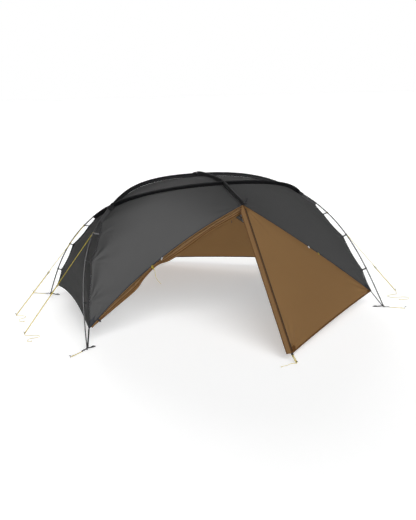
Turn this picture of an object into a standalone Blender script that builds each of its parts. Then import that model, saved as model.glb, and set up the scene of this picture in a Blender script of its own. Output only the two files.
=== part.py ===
"""Two-person pole tent: a fabric canopy held by two crossing arched poles and a ridge pole.

Metres, +Z up. The origin is on the ground under the middle of the canopy, X runs along
the canopy's length and Y towards its back porch. Names ending in left and right are as
seen from the front porch.
"""

import math

import bmesh
import bpy
import numpy as np

# Main poles: centre line of the left half of the pole that arches over the front ridge.
# Its feet stand at the back corners, and the other pole is its mirror image.
FOOT_X = 1.26
FOOT_Y = 0.767
FOOT_Z = 0.0052
SHOULDER = (-1.011, 0.137, 0.763)
CROSSING = (-0.858, 0.0, 0.898)
UPPER_BEND = (-0.627, -0.1745, 1.008)
RIDGE_Y = 0.297
RIDGE_Z = 1.076
POLE_DIAMETER = 0.0085
CROSSING_LIFT = 0.0046
CROSSING_NORMAL = (-0.553, 0, 0.833)

# Stations along half a main pole: how many lie between its foot, its tabs and its crossing,
# how far the first one beyond the crossing is, and how many are left for the ridge.
LEG_PARTS = (4, 3, 3, 2, 2, 1, 1)
APEX_STEP = 0.020
RIDGE_PARTS = 7

# Ridge pole, in the plane x = 0.
RIDGE_POLE_TIP_Y = 0.744
RIDGE_POLE_TIP_Z = 0.970
RIDGE_POLE_PORCH = (0.507, 1.034)
RIDGE_POLE_OVER = 1.0885
RIDGE_POLE_TOP = 1.104
RIDGE_POLE_PARTS = 28

# Canopy seams.
SLEEVE_DROP = 0.028
PEAK_Y = 0.699
PEAK_Z = 0.954
CORNER = (1.212, 0.639, 0.111)
HEM_LOW_Y = 1.52
HEM_LOW_Z = 0.045
CREST_RISE = 0.029
CREST_SPREAD = 0.22
SIDE_SEAM_BOW = 0.05
OPEN_SEAM_BOW = 0.10
END_HEM_IN = 0.015
END_HEM_RISE = 0.057
SCALLOP_SHARE = 0.03
TENT_MIDDLE = (0.0, 0.0, 0.3)
LEG_SEAM_PARTS = (2, 3, 4, 3)
END_PARTS = 8
ROOF_PARTS = 6

# Points where the side edging is held to a pole leg, for the leg at +X, +Y:
# the seam's own point, and the height of the pole there.
SLEEVE_END = ((0.955, 0.102, 0.787), 0.80)
TABS = (
    ((0.992, 0.182, 0.717), 0.725),
    ((1.107, 0.334, 0.536), 0.548),
    ((1.181, 0.537, 0.278), 0.288),
)
TAB_WIDTH = 0.012
TAB_SLOPE = 0.003
TAB_GRIP = 0.5
TAB_STATIONS = (sum(LEG_PARTS[:3]), sum(LEG_PARTS[:2]), LEG_PARTS[0])
EDGING_WIDTH = 0.008

# Cloth and webbing thicknesses, and the hairlines left between pieces.
FABRIC = 0.0008
WEBBING = 0.0014
SEAM_INSET = 0.0005
SEAM_GAP = 0.0012
TOUCH = 0.0003

# Hooks round the poles, open by the rest of the turn.
HOOK_WALL = 0.0016
HOOK_SLACK = 0.0006
HOOK_RADIUS = POLE_DIAMETER / 2 + HOOK_SLACK + HOOK_WALL / 2
HOOK_HALF_LENGTH = 0.005
HOOK_TURNS = range(-140, 141, 35)

# Pole sleeves: the loop round the pole, the two cloths below it, and where they stop.
SLEEVE_RADIUS = POLE_DIAMETER / 2 + 0.0011
SLEEVE_LEG = 0.0009
SLEEVE_NECK = 1.7
SLEEVE_TURNS = range(-140, 141, 40)
SLEEVE_CLEAR = 0.02
SLEEVE_RISE = 0.012
SLEEVE_TOUCH = 0.0012
PORCH_SLEEVE_END = 0.70

# Doors: how far down the seam they start, and how far their hem rises between its corners.
DOOR_TOP = 0.15
DOOR_PARTS = 6
HEM_ARCH = 0.012

# Rolled door, hung under the front left seam. It tapers to both ends, by a starting share and
# a growth per share of the seam, and is drawn in by a tie between two full shoulders.
ROLL_RADIUS = 0.026
ROLL_NECK = 0.010
ROLL_GAP = 0.0007
ROLL_ENDS = (0.03, 0.97)
ROLL_HANG = np.array((0, -0.25, -1.0))
ROLL_THIN = 0.35
ROLL_GROWTH = (2.2, 3.0)
ROLL_TIE_AT = 0.56
ROLL_TIE_HALF = 0.004
ROLL_TIE_DRAW = 0.40
ROLL_SHOULDER = 0.022
ROLL_PARTS = (7, 5)
ROLL_SIDES = 9

# Storm flap over the zip.
FLAP_WIDTH = 0.046
FLAP_LAP = 0.003
FLAP_OFFSET = 0.0014
FLAP_TOP = 0.05
FLAP_THIN = 0.3
FLAP_GROWTH = 3.0
FLAP_PARTS = 8

# Ground straps, measured outwards from the pole's foot.
GROUND_STRAP_REACHES = (-0.090, -0.045, -0.012, 0.012, 0.052)
GROUND_STRAP_WAY = (0.82, 0.572)
GROUND_STRAP_WIDTH = 0.016
STRAP_BESIDE_FOOT = 0.004
STRAP_BUCKLE = (0.030, 0.024, 0.007)
STRAP_BUCKLE_REACH = -0.066
CORNER_STRAP_WIDTH = 0.012
CORNER_STRAP_REACH = -0.030
CORNER_STRAP_FLARE = 0.012

# Tab under each end of the ridge pole.
PEAK_TAB_WIDTH = 0.015
PEAK_TAB_LAP = 0.020
PEAK_TAB_PAST = 0.004

# Stakes, guy lines and cords. A stake is a bent rod: how far its head leans out and up, as
# shares of its height.
STAKE_DIAMETER = 0.004
STAKE_HEIGHT = 0.020
STAKE_BEND = ((0, 0), (0, 0.7), (0.12, 0.95), (0.4, 1.0), (0.6, 0.85))
STAKE_BITE = 0.0005
FOOT_STAKE = (1.40, 0.868)
PORCH_STAKE_Y = 1.59
GUY_ANCHOR_X = 1.63
GUY_ANCHOR_Y = {"left": 0.245, "right": 0.406}
GUY_STAKE_TURN = 0.2
GUY_SLIDER_AT = {"left": 0.525, "right": 0.70}
GUY_SLIDER = (0.030, 0.012, 0.006)
CORD_DIAMETER = 0.003
CORD_STEP = 0.0095
CORD_LIE = CORD_DIAMETER / 2 + 0.0002
CORD_HOLD_Z = 0.006
GUY_CLEAR = POLE_DIAMETER / 2 + CORD_DIAMETER / 2 + TOUCH

# Loose cord ends: each route is a list of points on the ground, from its exit on, and the
# one at the rolled door's tie hangs.
GUY_TAIL_LEFT_BACK = (
    (-1.6279, 0.2441),
    (-1.604, 0.228),
    (-1.566, 0.203),
    (-1.566, 0.170),
    (-1.600, 0.146),
    (-1.626, 0.112),
    (-1.622, 0.078),
    (-1.590, 0.064),
)
GUY_TAIL_LEFT_FRONT = (
    (-1.6302, -0.2473),
    (-1.632, -0.275),
    (-1.590, -0.297),
    (-1.545, -0.312),
    (-1.530, -0.342),
    (-1.560, -0.364),
    (-1.598, -0.366),
    (-1.626, -0.388),
    (-1.630, -0.424),
    (-1.604, -0.430),
)
GUY_TAIL_RIGHT = (
    (1.6294, -0.4082),
    (1.618, -0.442),
    (1.580, -0.488),
    (1.520, -0.494),
    (1.478, -0.506),
    (1.470, -0.545),
    (1.505, -0.572),
    (1.560, -0.582),
    (1.600, -0.600),
    (1.608, -0.636),
    (1.565, -0.660),
    (1.500, -0.648),
)
PORCH_TAIL = (
    (-0.0023, -1.5897),
    (-0.024, -1.582),
    (-0.052, -1.586),
    (-0.082, -1.600),
    (-0.104, -1.600),
    (-0.128, -1.612),
)
ROLL_TIE_TAIL = (
    (-0.6860, -0.5835, 0.4975),
    (-0.6820, -0.5855, 0.4920),
    (-0.676, -0.589, 0.452),
    (-0.660, -0.587, 0.410),
    (-0.632, -0.585, 0.374),
)

# Fine sampling of a smooth curve before it is cut into stations.
FINE = 2400

SIDES = {"left": -1, "right": 1}
ENDS = {"front": -1, "back": 1}

COLLECTION = "two_person_tent"


def clear_scene():
    for thing in list(bpy.data.objects):
        bpy.data.objects.remove(thing, do_unlink=True)


def material(name, colour, roughness, metallic=0.0):
    made = bpy.data.materials.get(name)
    if made is None:
        made = bpy.data.materials.new(name)
        made.use_nodes = True
        shader = made.node_tree.nodes["Principled BSDF"]
        shader.inputs["Base Color"].default_value = (*colour, 1.0)
        shader.inputs["Roughness"].default_value = roughness
        shader.inputs["Metallic"].default_value = metallic
    return made


def grey_fabric():
    return material("grey_fabric", (0.085, 0.085, 0.088), 0.6)


def brown_fabric():
    return material("brown_fabric", (0.21, 0.12, 0.05), 0.6)


def black_fabric():
    return material("black_fabric", (0.012, 0.012, 0.013), 0.7)


def black_webbing():
    return material("black_webbing", (0.02, 0.02, 0.022), 0.8)


def pole_finish():
    return material("anodised_pole", (0.03, 0.03, 0.033), 0.35, 0.9)


def stake_finish():
    return material("stake_metal", (0.12, 0.12, 0.13), 0.4, 0.9)


def yellow_cord():
    return material("yellow_cord", (0.75, 0.60, 0.12), 0.7)


def unit(vector):
    vector = np.asarray(vector, float)
    return vector / np.linalg.norm(vector)


def flip(points, x=1, y=1):
    """The points mirrored in X, in Y or in both."""
    return np.asarray(points, float) * (x, y, 1)


def smooth(knots):
    """A natural cubic spline through the knots, as closely spaced points."""
    knots = np.array(knots, float)
    steps = np.linalg.norm(np.diff(knots, axis=0), axis=1)
    at = np.r_[0, np.cumsum(steps)]
    count = len(knots)
    system = np.eye(count)
    known = np.zeros((count, 3))
    for i in range(1, count - 1):
        before, after = steps[i - 1], steps[i]
        system[i, i - 1 : i + 2] = before, 2 * (before + after), after
        rise = (knots[i + 1] - knots[i]) / after
        known[i] = 6 * (rise - (knots[i] - knots[i - 1]) / before)
    bend = np.linalg.solve(system, known)
    run = np.linspace(0, at[-1], FINE)
    i = np.clip(np.searchsorted(at, run, side="right") - 1, 0, count - 2)
    step = steps[i][:, None]
    past = (run - at[i])[:, None]
    left = step - past
    curved = (bend[i] * left**3 + bend[i + 1] * past**3) / (6 * step)
    straight = (knots[i] / step - bend[i] * step / 6) * left
    return curved + straight + (knots[i + 1] / step - bend[i + 1] * step / 6) * past


def run_of(curve):
    return np.r_[0, np.cumsum(np.linalg.norm(np.diff(curve, axis=0), axis=1))]


def along(curve, shares):
    """Points of a curve at shares of its length."""
    run = run_of(curve)
    at = np.asarray(shares) * run[-1]
    return np.stack([np.interp(at, run, curve[:, axis]) for axis in range(3)], axis=1)


def tangents(points):
    """The unit direction at each point of a polyline."""
    steps = np.gradient(points, axis=0)
    return steps / np.linalg.norm(steps, axis=1)[:, None]


def link(obj, finish):
    bpy.data.collections[COLLECTION].objects.link(obj)
    obj.data.materials.append(finish)
    return obj


def tube(name, points, diameter, finish, detail=2):
    """A round rod or cord along a polyline, with closed ends."""
    curve = bpy.data.curves.new(name, "CURVE")
    curve.dimensions = "3D"
    curve.bevel_depth = diameter / 2
    curve.bevel_resolution = detail
    curve.use_fill_caps = True
    line = curve.splines.new("POLY")
    line.points.add(len(points) - 1)
    for i, point in enumerate(points):
        line.points[i].co = (*point, 1)
    return link(bpy.data.objects.new(name, curve), finish)


def mesh_of(obj):
    """A curve object turned into a mesh object with welded end caps."""
    bpy.context.view_layer.update()
    evaluated = obj.evaluated_get(bpy.context.evaluated_depsgraph_get())
    mesh = bpy.data.meshes.new_from_object(evaluated)
    work = bmesh.new()
    work.from_mesh(mesh)
    bmesh.ops.remove_doubles(work, verts=work.verts, dist=0.00001)
    bmesh.ops.recalc_face_normals(work, faces=work.faces)
    work.to_mesh(mesh)
    work.free()
    name = obj.name
    finish = obj.data.materials[0]
    bpy.data.objects.remove(obj, do_unlink=True)
    mesh.materials.clear()
    return link(bpy.data.objects.new(name, mesh), finish)


def sheet(name, rows, thickness, finish):
    """Cloth or tape: an open grid of points, given its thickness by Solidify."""
    rows = [np.asarray(row, float) for row in rows]
    work = bmesh.new()
    grid = [[work.verts.new(point) for point in row] for row in rows]
    for upper, lower in zip(grid, grid[1:]):
        for i in range(len(upper) - 1):
            work.faces.new((upper[i], upper[i + 1], lower[i + 1], lower[i]))
    mesh = bpy.data.meshes.new(name)
    work.to_mesh(mesh)
    work.free()
    mesh.shade_smooth()
    obj = link(bpy.data.objects.new(name, mesh), finish)
    wall = obj.modifiers.new("thickness", "SOLIDIFY")
    wall.thickness = thickness
    wall.offset = 0
    return obj


def loft(name, rings, finish):
    """A closed soft form through rings of points, with flat ends."""
    work = bmesh.new()
    loops = [[work.verts.new(point) for point in ring] for ring in rings]
    count = len(loops[0])
    for upper, lower in zip(loops, loops[1:]):
        for i in range(count):
            j = (i + 1) % count
            work.faces.new((upper[i], upper[j], lower[j], lower[i]))
    work.faces.new(loops[0][::-1])
    work.faces.new(loops[-1])
    bmesh.ops.recalc_face_normals(work, faces=work.faces)
    mesh = bpy.data.meshes.new(name)
    work.to_mesh(mesh)
    work.free()
    mesh.shade_smooth()
    return link(bpy.data.objects.new(name, mesh), finish)


def block(name, centre, size, way, finish):
    """A small box whose length runs along a direction, kept level across it."""
    way = unit(way)
    across = unit(np.cross((0, 0, 1), way))
    up = np.cross(way, across)
    work = bmesh.new()
    bmesh.ops.create_cube(work, size=1)
    for vert in work.verts:
        along_it, across_it, up_it = (vert.co[i] * size[i] for i in range(3))
        vert.co = centre + way * along_it + across * across_it + up * up_it
    mesh = bpy.data.meshes.new(name)
    work.to_mesh(mesh)
    work.free()
    return link(bpy.data.objects.new(name, mesh), finish)


def fuse(obj, others):
    """Joins the other objects into this one with Boolean unions, and removes them."""
    for other in others:
        union = obj.modifiers.new("join", "BOOLEAN")
        union.operation = "UNION"
        union.object = other
    bpy.context.view_layer.update()
    evaluated = obj.evaluated_get(bpy.context.evaluated_depsgraph_get())
    mesh = bpy.data.meshes.new_from_object(evaluated)
    name = obj.name
    finish = obj.data.materials[0]
    for spare in [obj, *others]:
        bpy.data.objects.remove(spare, do_unlink=True)
    mesh.materials.clear()
    return link(bpy.data.objects.new(name, mesh), finish)


def patch(first, last, left, right):
    """A Coons surface: rows from first to last, whose ends follow left and right."""
    down = (run_of(left) / run_of(left)[-1] + run_of(right) / run_of(right)[-1]) / 2
    over = (run_of(first) / run_of(first)[-1] + run_of(last) / run_of(last)[-1]) / 2
    rows = []
    for i, v in enumerate(down):
        row = []
        for j, u in enumerate(over):
            ruled = (1 - v) * first[j] + v * last[j] + (1 - u) * left[i] + u * right[i]
            top = (1 - u) * first[0] + u * first[-1]
            foot = (1 - u) * last[0] + u * last[-1]
            row.append(ruled - (1 - v) * top - v * foot)
        rows.append(row)
    return np.array(rows)


def inset(rows):
    """The surface drawn in from its four seams, so that neighbours leave a hairline."""
    rows = rows.copy()
    for edge, inner in ((0, 1), (-1, -2)):
        for line, next_line in (
            (rows[edge], rows[inner]),
            (rows[:, edge], rows[:, inner]),
        ):
            way = next_line - line
            line += SEAM_INSET * way / np.linalg.norm(way, axis=1)[:, None]
    return rows


# Main poles.


def main_pole_curve(lift):
    """The pole over the front ridge, whose crossings are lifted along their normal."""
    crossing = np.array(CROSSING) + lift * np.array(CROSSING_NORMAL)
    half = [(-FOOT_X, FOOT_Y, FOOT_Z), SHOULDER, crossing, UPPER_BEND]
    half = np.array(half, float)
    middle = [(0, -RIDGE_Y, RIDGE_Z)]
    return smooth(np.vstack([half, middle, flip(half, x=-1)[::-1]]))


def main_pole_stations():
    """Shares of the pole's length at its left foot, tabs, crossing and middle."""
    curve = main_pole_curve(0)
    run = run_of(curve)
    half = len(curve) // 2
    heights = [TABS[2][1], TABS[1][1], TABS[0][1], SLEEVE_END[1], CROSSING[2]]
    found = np.interp(heights, curve[:half, 2], run[:half] / run[-1])
    close = APEX_STEP / run[-1]
    return [0, *found[:4], found[4] - close, found[4], found[4] + close, 0.5]


MARKS = main_pole_stations()
LEFT_HALF = np.concatenate(
    [
        np.linspace(start, end, parts + 1)[:-1]
        for start, end, parts in zip(MARKS, MARKS[1:], (*LEG_PARTS, RIDGE_PARTS))
    ]
)
STATIONS = np.r_[LEFT_HALF, 0.5, (1 - LEFT_HALF)[::-1]]
CROSS_AT = sum(LEG_PARTS[:6])
MIDDLE_AT = len(LEFT_HALF)

FRONT_POLE = along(main_pole_curve(CROSSING_LIFT), STATIONS)
BACK_POLE = flip(along(main_pole_curve(-CROSSING_LIFT), STATIONS), y=-1)
NEUTRAL_POLE = along(main_pole_curve(0), STATIONS)


def add_main_poles():
    tube("main_pole_front", FRONT_POLE, POLE_DIAMETER, pole_finish())
    tube("main_pole_back", BACK_POLE, POLE_DIAMETER, pole_finish())


# Ridge pole.


def ridge_pole_points():
    half = [
        (0, -RIDGE_POLE_TIP_Y, RIDGE_POLE_TIP_Z),
        (0, -RIDGE_POLE_PORCH[0], RIDGE_POLE_PORCH[1]),
        (0, -RIDGE_Y, RIDGE_POLE_OVER),
    ]
    knots = np.vstack([half, [(0, 0, RIDGE_POLE_TOP)], flip(half, y=-1)[::-1]])
    return along(smooth(knots), np.linspace(0, 1, RIDGE_POLE_PARTS + 1))


RIDGE_POLE = ridge_pole_points()


def add_ridge_pole():
    tube("ridge_pole", RIDGE_POLE, POLE_DIAMETER, pole_finish())


# Canopy seams. Each is worked out once, and every panel beside it uses the same points.


def ridge_seam():
    """The front ridge seam, from the left crossing to the right one."""
    poles = NEUTRAL_POLE[CROSS_AT : len(STATIONS) - CROSS_AT]
    outward = poles - np.array(TENT_MIDDLE)
    outward /= np.linalg.norm(outward, axis=1)[:, None]
    seam = poles - SLEEVE_DROP * outward
    seam[[0, -1], 1] = 0
    return seam


RIDGE_SEAM = ridge_seam()
APEX = RIDGE_SEAM[-1]
RIDGE_MIDDLE = RIDGE_SEAM[len(RIDGE_SEAM) // 2]
PEAK = np.array((0, -PEAK_Y, PEAK_Z))
LOW_POINT = np.array((0, -HEM_LOW_Y, HEM_LOW_Z))


def scallop(start, end, parts):
    """An edge drawn in towards the tent between two of its tabs."""
    share = np.linspace(0, 1, parts + 1)[:, None]
    inward = unit(np.array(TENT_MIDDLE) - (start + end) / 2)
    along_it = unit(end - start)
    inward = unit(inward - (inward @ along_it) * along_it)
    depth = SCALLOP_SHARE * np.linalg.norm(end - start)
    return start + share * (end - start) + inward * depth * 4 * share * (1 - share)


def leg_seam():
    """The seam at the +X, +Y leg, from the crossing down to the corner."""
    knots = [APEX, *(np.array(point) for point, _ in (SLEEVE_END, *TABS)), np.array(CORNER)]
    top = knots[1] - knots[0]
    apex_share = APEX_STEP / np.linalg.norm(top)
    first = [knots[0] + share * top for share in (0, apex_share, (1 + apex_share) / 2)]
    pieces = [np.array(first)]
    for start, end, parts in zip(knots[1:], knots[2:], LEG_SEAM_PARTS):
        pieces.append(scallop(start, end, parts)[:-1])
    return np.vstack([*pieces, [knots[-1]]])


LEG_SEAM = leg_seam()
SEAM_SHARES = run_of(LEG_SEAM) / run_of(LEG_SEAM)[-1]
KNOT_AT = np.cumsum((3, *LEG_SEAM_PARTS))


def porch_seam(x_side, bow):
    """The seam under the front grey panel, from the porch peak to the corner."""
    corner = flip([CORNER], x=x_side, y=-1)[0]
    apex = flip([APEX], x=x_side)[0]
    share = run_of(RIDGE_SEAM[: len(RIDGE_SEAM) // 2 + 1])
    share = (1 - share[::-1] / share[-1])[:, None]
    inward = unit((RIDGE_MIDDLE + apex) / 2 - (PEAK + corner) / 2)
    way = unit(corner - PEAK)
    inward = unit(inward - (inward @ way) * way)
    return PEAK + share * (corner - PEAK) + inward * bow * 4 * share * (1 - share)


def gusset_seam():
    """The seam in the plane x = 0 from the front ridge to the porch peak."""
    share = SEAM_SHARES[:, None]
    return RIDGE_MIDDLE + share * (PEAK - RIDGE_MIDDLE)


GUSSET_SEAM = gusset_seam()


def half_ridge(x_side):
    """The front ridge seam from its middle out to one crossing."""
    middle = len(RIDGE_SEAM) // 2
    return flip(RIDGE_SEAM[middle:], x=x_side)


def bow_of(x_name, y_name):
    return OPEN_SEAM_BOW if (x_name, y_name) == ("left", "front") else SIDE_SEAM_BOW


def add_grey_panels():
    """The four dark panels between the ridges, the porch seams and the pole legs."""
    for y_name, y in ENDS.items():
        for x_name, x in SIDES.items():
            rows = patch(
                half_ridge(x),
                porch_seam(x, bow_of(x_name, y_name)),
                GUSSET_SEAM,
                flip(LEG_SEAM, x=x, y=-1),
            )
            sheet(
                f"panel_{y_name}_{x_name}",
                flip(inset(rows), y=-y),
                FABRIC,
                grey_fabric(),
            )


def add_end_panels():
    """The two end walls, each from a crossing down to its arched hem."""
    for x_name, x in SIDES.items():
        share = np.linspace(0, 1, END_PARTS + 1)[:, None]
        arch = 1 - np.abs(2 * share - 1) ** 2
        corner = np.array(CORNER)
        hem = flip([corner], y=-1)[0] + share * (0, 2 * corner[1], 0)
        hem = hem + arch * (-END_HEM_IN, 0, END_HEM_RISE)
        side = LEG_SEAM[1:]
        top = side[0] * (1, -1, 1) + share * (0, 2 * side[0][1], 0)
        rows = patch(top, hem, flip(side, y=-1), side)
        sheet(f"end_panel_{x_name}", flip(inset(rows), x=x), FABRIC, grey_fabric())


def add_roof():
    """The roof between the two ridge seams, raised along its middle by the ridge pole."""
    front = RIDGE_SEAM[1:-1]
    rows = []
    for share in np.linspace(0, 1, ROOF_PARTS + 1):
        row = front * (1, 1 - 2 * share, 1)
        crest = CREST_RISE * 4 * share * (1 - share)
        row[:, 2] += crest * np.exp(-((row[:, 0] / CREST_SPREAD) ** 2))
        rows.append(row)
    sheet("roof_panel", inset(np.array(rows)), FABRIC, grey_fabric())


# Brown porch doors.


def door_rows(x_side):
    """A closed front door: from the peak, between the porch seam and the zip line."""
    seam = porch_seam(x_side, SIDE_SEAM_BOW)
    share = (run_of(seam) / run_of(seam)[-1])[:, None]
    zip_line = PEAK + share * (LOW_POINT - PEAK)
    for edge in (seam, zip_line):
        edge[0] += DOOR_TOP * (edge[1] - edge[0])
    over = np.linspace(0, 1, DOOR_PARTS + 1)[:, None]
    hem = seam[-1] + over * (zip_line[-1] - seam[-1])
    hem = hem + np.array((0, 0, HEM_ARCH)) * 4 * over * (1 - over)
    top = seam[0] + over * (zip_line[0] - seam[0])
    return patch(top, hem, seam, zip_line)


def add_doors():
    for y_name, x_name in (("front", "right"), ("back", "left"), ("back", "right")):
        rows = inset(door_rows(SIDES[x_name]))
        name = f"door_{y_name}_{x_name}"
        sheet(name, flip(rows, y=-ENDS[y_name]), FABRIC, brown_fabric())


def add_rolled_door():
    """The front left door, rolled up, hung under its seam and drawn in by its tie."""
    seam = porch_seam(SIDES["left"], OPEN_SEAM_BOW)
    above = np.linspace(ROLL_ENDS[0], ROLL_TIE_AT - ROLL_SHOULDER, ROLL_PARTS[0] + 1)
    tied = ROLL_TIE_AT + ROLL_TIE_HALF * np.array((-1, 1))
    below = np.linspace(ROLL_TIE_AT + ROLL_SHOULDER, ROLL_ENDS[1], ROLL_PARTS[1] + 1)
    shares = np.r_[above, tied, below]
    centre = along(seam, shares)
    rings = []
    for share, point, way in zip(shares, centre, tangents(centre)):
        full = min(1, ROLL_THIN + ROLL_GROWTH[0] * share, ROLL_THIN + ROLL_GROWTH[1] * (1 - share))
        if share in tied:
            full = ROLL_TIE_DRAW
        radius = ROLL_RADIUS * full
        hang = unit(ROLL_HANG - way * (ROLL_HANG @ way))
        across = np.cross(way, hang)
        middle = point + hang * (ROLL_NECK * full + radius)
        ring = [point + hang * ROLL_GAP]
        for turn in np.linspace(30, 330, ROLL_SIDES):
            angle = math.radians(turn)
            ring.append(middle - radius * (math.cos(angle) * hang + math.sin(angle) * across))
        rings.append(ring)
    loft("door_front_left_rolled", rings, brown_fabric())


def add_storm_flaps():
    """The strip over each zip line, free along one edge."""
    down = unit(LOW_POINT - PEAK)
    outward = np.array((0, down[2], -down[1]))
    for y_name, y in ENDS.items():
        rows = []
        for share in np.linspace(FLAP_TOP, 1, FLAP_PARTS + 1):
            point = PEAK + share * (LOW_POINT - PEAK) + FLAP_OFFSET * outward
            width = FLAP_WIDTH * min(1, FLAP_THIN + share * FLAP_GROWTH)
            rows.append([point + (FLAP_LAP, 0, 0), point + (-width, 0, 0)])
        rows[-1] = [point - TOUCH * down for point in rows[-1]]
        sheet(f"storm_flap_{y_name}", flip(rows, x=-y, y=-y), FABRIC, brown_fabric())


# Pole sleeves.


def sleeve(name, pole, seam):
    """A folded strip of cloth: up from the seam, over the pole and back down."""
    ways = tangents(pole)
    rows = []
    for point, foot, way in zip(pole, seam, ways):
        up = point - foot
        up = unit(up - (up @ way) * way)
        across = np.cross(way, up)
        drop = (point - foot) @ up - SEAM_GAP
        turns = [math.radians(turn) for turn in SLEEVE_TURNS]
        arch = [SLEEVE_RADIUS * np.array((math.sin(t), math.cos(t))) for t in turns]
        neck = -SLEEVE_RADIUS * SLEEVE_NECK
        left = [(-SLEEVE_LEG, -drop), (-SLEEVE_LEG, neck)]
        right = [(SLEEVE_LEG, neck), (SLEEVE_LEG, -drop)]
        rows.append([point + across * b + up * n for b, n in [*left, *arch, *right]])
    sheet(name, rows, FABRIC, black_fabric())


def add_ridge_sleeves():
    """The sleeves of the two main poles, between the crossings."""
    first = CROSS_AT + 2
    last = len(STATIONS) - first
    for name, pole, y in (("front", FRONT_POLE, 1), ("back", BACK_POLE, -1)):
        seam = flip(RIDGE_SEAM, y=y)[2:-2]
        sleeve(f"ridge_sleeve_{name}", pole[first:last], seam)


def add_ridge_pole_sleeves():
    """The ridge pole's sleeve, open where it passes over the main poles."""
    over_roof = [p for p in RIDGE_POLE if abs(p[1]) < RIDGE_Y - SLEEVE_CLEAR]
    crest = []
    for point in over_roof:
        share = (point[1] / RIDGE_MIDDLE[1] + 1) / 2
        crest.append((0, point[1], RIDGE_MIDDLE[2] + CREST_RISE * 4 * share * (1 - share)))
    sleeve("ridge_pole_sleeve_middle", np.array(over_roof), np.array(crest))
    for name, y in ENDS.items():
        porch = [p for p in RIDGE_POLE if RIDGE_Y + SLEEVE_CLEAR < p[1] < PORCH_SLEEVE_END]
        porch = np.array(porch)
        share = (porch[:, 1] + RIDGE_MIDDLE[1]) / (PEAK_Y + RIDGE_MIDDLE[1])
        foot = flip(RIDGE_MIDDLE + share[:, None] * (PEAK - RIDGE_MIDDLE), y=-1)
        sleeve(f"ridge_pole_sleeve_{name}", flip(porch, y=y), flip(foot, y=y))


# Edging tape down each leg seam, with the tabs that hold it to the pole.


def pole_leg(y):
    """Stations of the leg at the back or the front, turned to the +X, +Y corner."""
    pole = FRONT_POLE if y > 0 else flip(BACK_POLE, y=-1)
    return flip(pole[: CROSS_AT + 1], x=-1)


def leg_pole_point(leg, height):
    """A pole leg's centre at a height."""
    found = [np.interp(height, leg[:, 2], leg[:, axis]) for axis in range(3)]
    return np.array(found)


def add_edgings():
    """One tape for each leg: a fin on the seam, with hooks round the pole."""
    for y_name, y in ENDS.items():
        leg = pole_leg(y)
        for x_name, x in SIDES.items():
            name = f"leg_edging_{y_name}_{x_name}"
            rows = edging_rows(leg)
            tape = sheet(name, flip(rows, x=x, y=y), WEBBING, black_webbing())
            hooks = []
            for number, station in enumerate(TAB_STATIONS):
                hook_rows = hook_at(leg, station, LEG_SEAM[KNOT_AT[1 + number]])
                hooks.append(
                    sheet(
                        f"{name}_hook_{number}",
                        flip(hook_rows, x=x, y=y),
                        HOOK_WALL,
                        black_webbing(),
                    )
                )
            fuse(tape, hooks)


def edging_rows(leg):
    """The tape's inner and outer edge, from below the crossing to the corner."""
    rows = []
    for i, point in enumerate(LEG_SEAM[1:], start=1):
        pole = leg_pole_point(leg, point[2] + SLEEVE_RISE)
        if i <= KNOT_AT[0]:
            rows.append(tape_ends(point, pole, pole_gap=POLE_DIAMETER / 2 + SLEEVE_TOUCH))
        elif i in KNOT_AT[1:4]:
            rows.extend(tab_rows(i, leg, TAB_STATIONS[list(KNOT_AT[1:]).index(i)]))
        else:
            rows.append(tape_ends(point, pole))
    return rows


def tab_rows(i, leg, station):
    """A tab that reaches from the seam's point i into the wall of its hook."""
    point = LEG_SEAM[i]
    hold = leg[station]
    before = unit(LEG_SEAM[i - 1] - point)
    after = unit(LEG_SEAM[i + 1] - point)
    half = TAB_WIDTH / 2
    grip = leg_way(leg, station) * HOOK_HALF_LENGTH * TAB_GRIP
    return [
        tape_ends(point + before * (half + TAB_SLOPE), hold - grip),
        tape_ends(point + before * half, hold - grip, pole_gap=HOOK_RADIUS),
        tape_ends(point, hold, pole_gap=HOOK_RADIUS),
        tape_ends(point + after * half, hold + grip, pole_gap=HOOK_RADIUS),
        tape_ends(point + after * (half + TAB_SLOPE), hold + grip),
    ]


def leg_way(leg, station):
    """The direction down a pole leg at one of its stations."""
    return unit(leg[station - 1] - leg[station + 1])


def tape_ends(point, pole, pole_gap=None):
    """The tape's two edges: narrow, or reaching up to a gap from the pole's centre."""
    way = unit(pole - point)
    if pole_gap is None:
        return [point + SEAM_GAP * way, point + EDGING_WIDTH * way]
    return [point + SEAM_GAP * way, pole - pole_gap * way]


def hook_at(leg, station, seam_point):
    """An open ring round the pole, its gap away from the tab."""
    hold = leg[station]
    way = leg_way(leg, station)
    inward = seam_point - hold
    inward = unit(inward - (inward @ way) * way)
    across = np.cross(way, inward)
    rows = []
    for end in (-1, 1):
        ring = []
        for turn in HOOK_TURNS:
            angle = math.radians(turn)
            radial = math.cos(angle) * inward + math.sin(angle) * across
            ring.append(hold + end * HOOK_HALF_LENGTH * way + HOOK_RADIUS * radial)
        rows.append(ring)
    return rows


# Corner straps on the ground, and the porch peak tabs.


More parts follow.
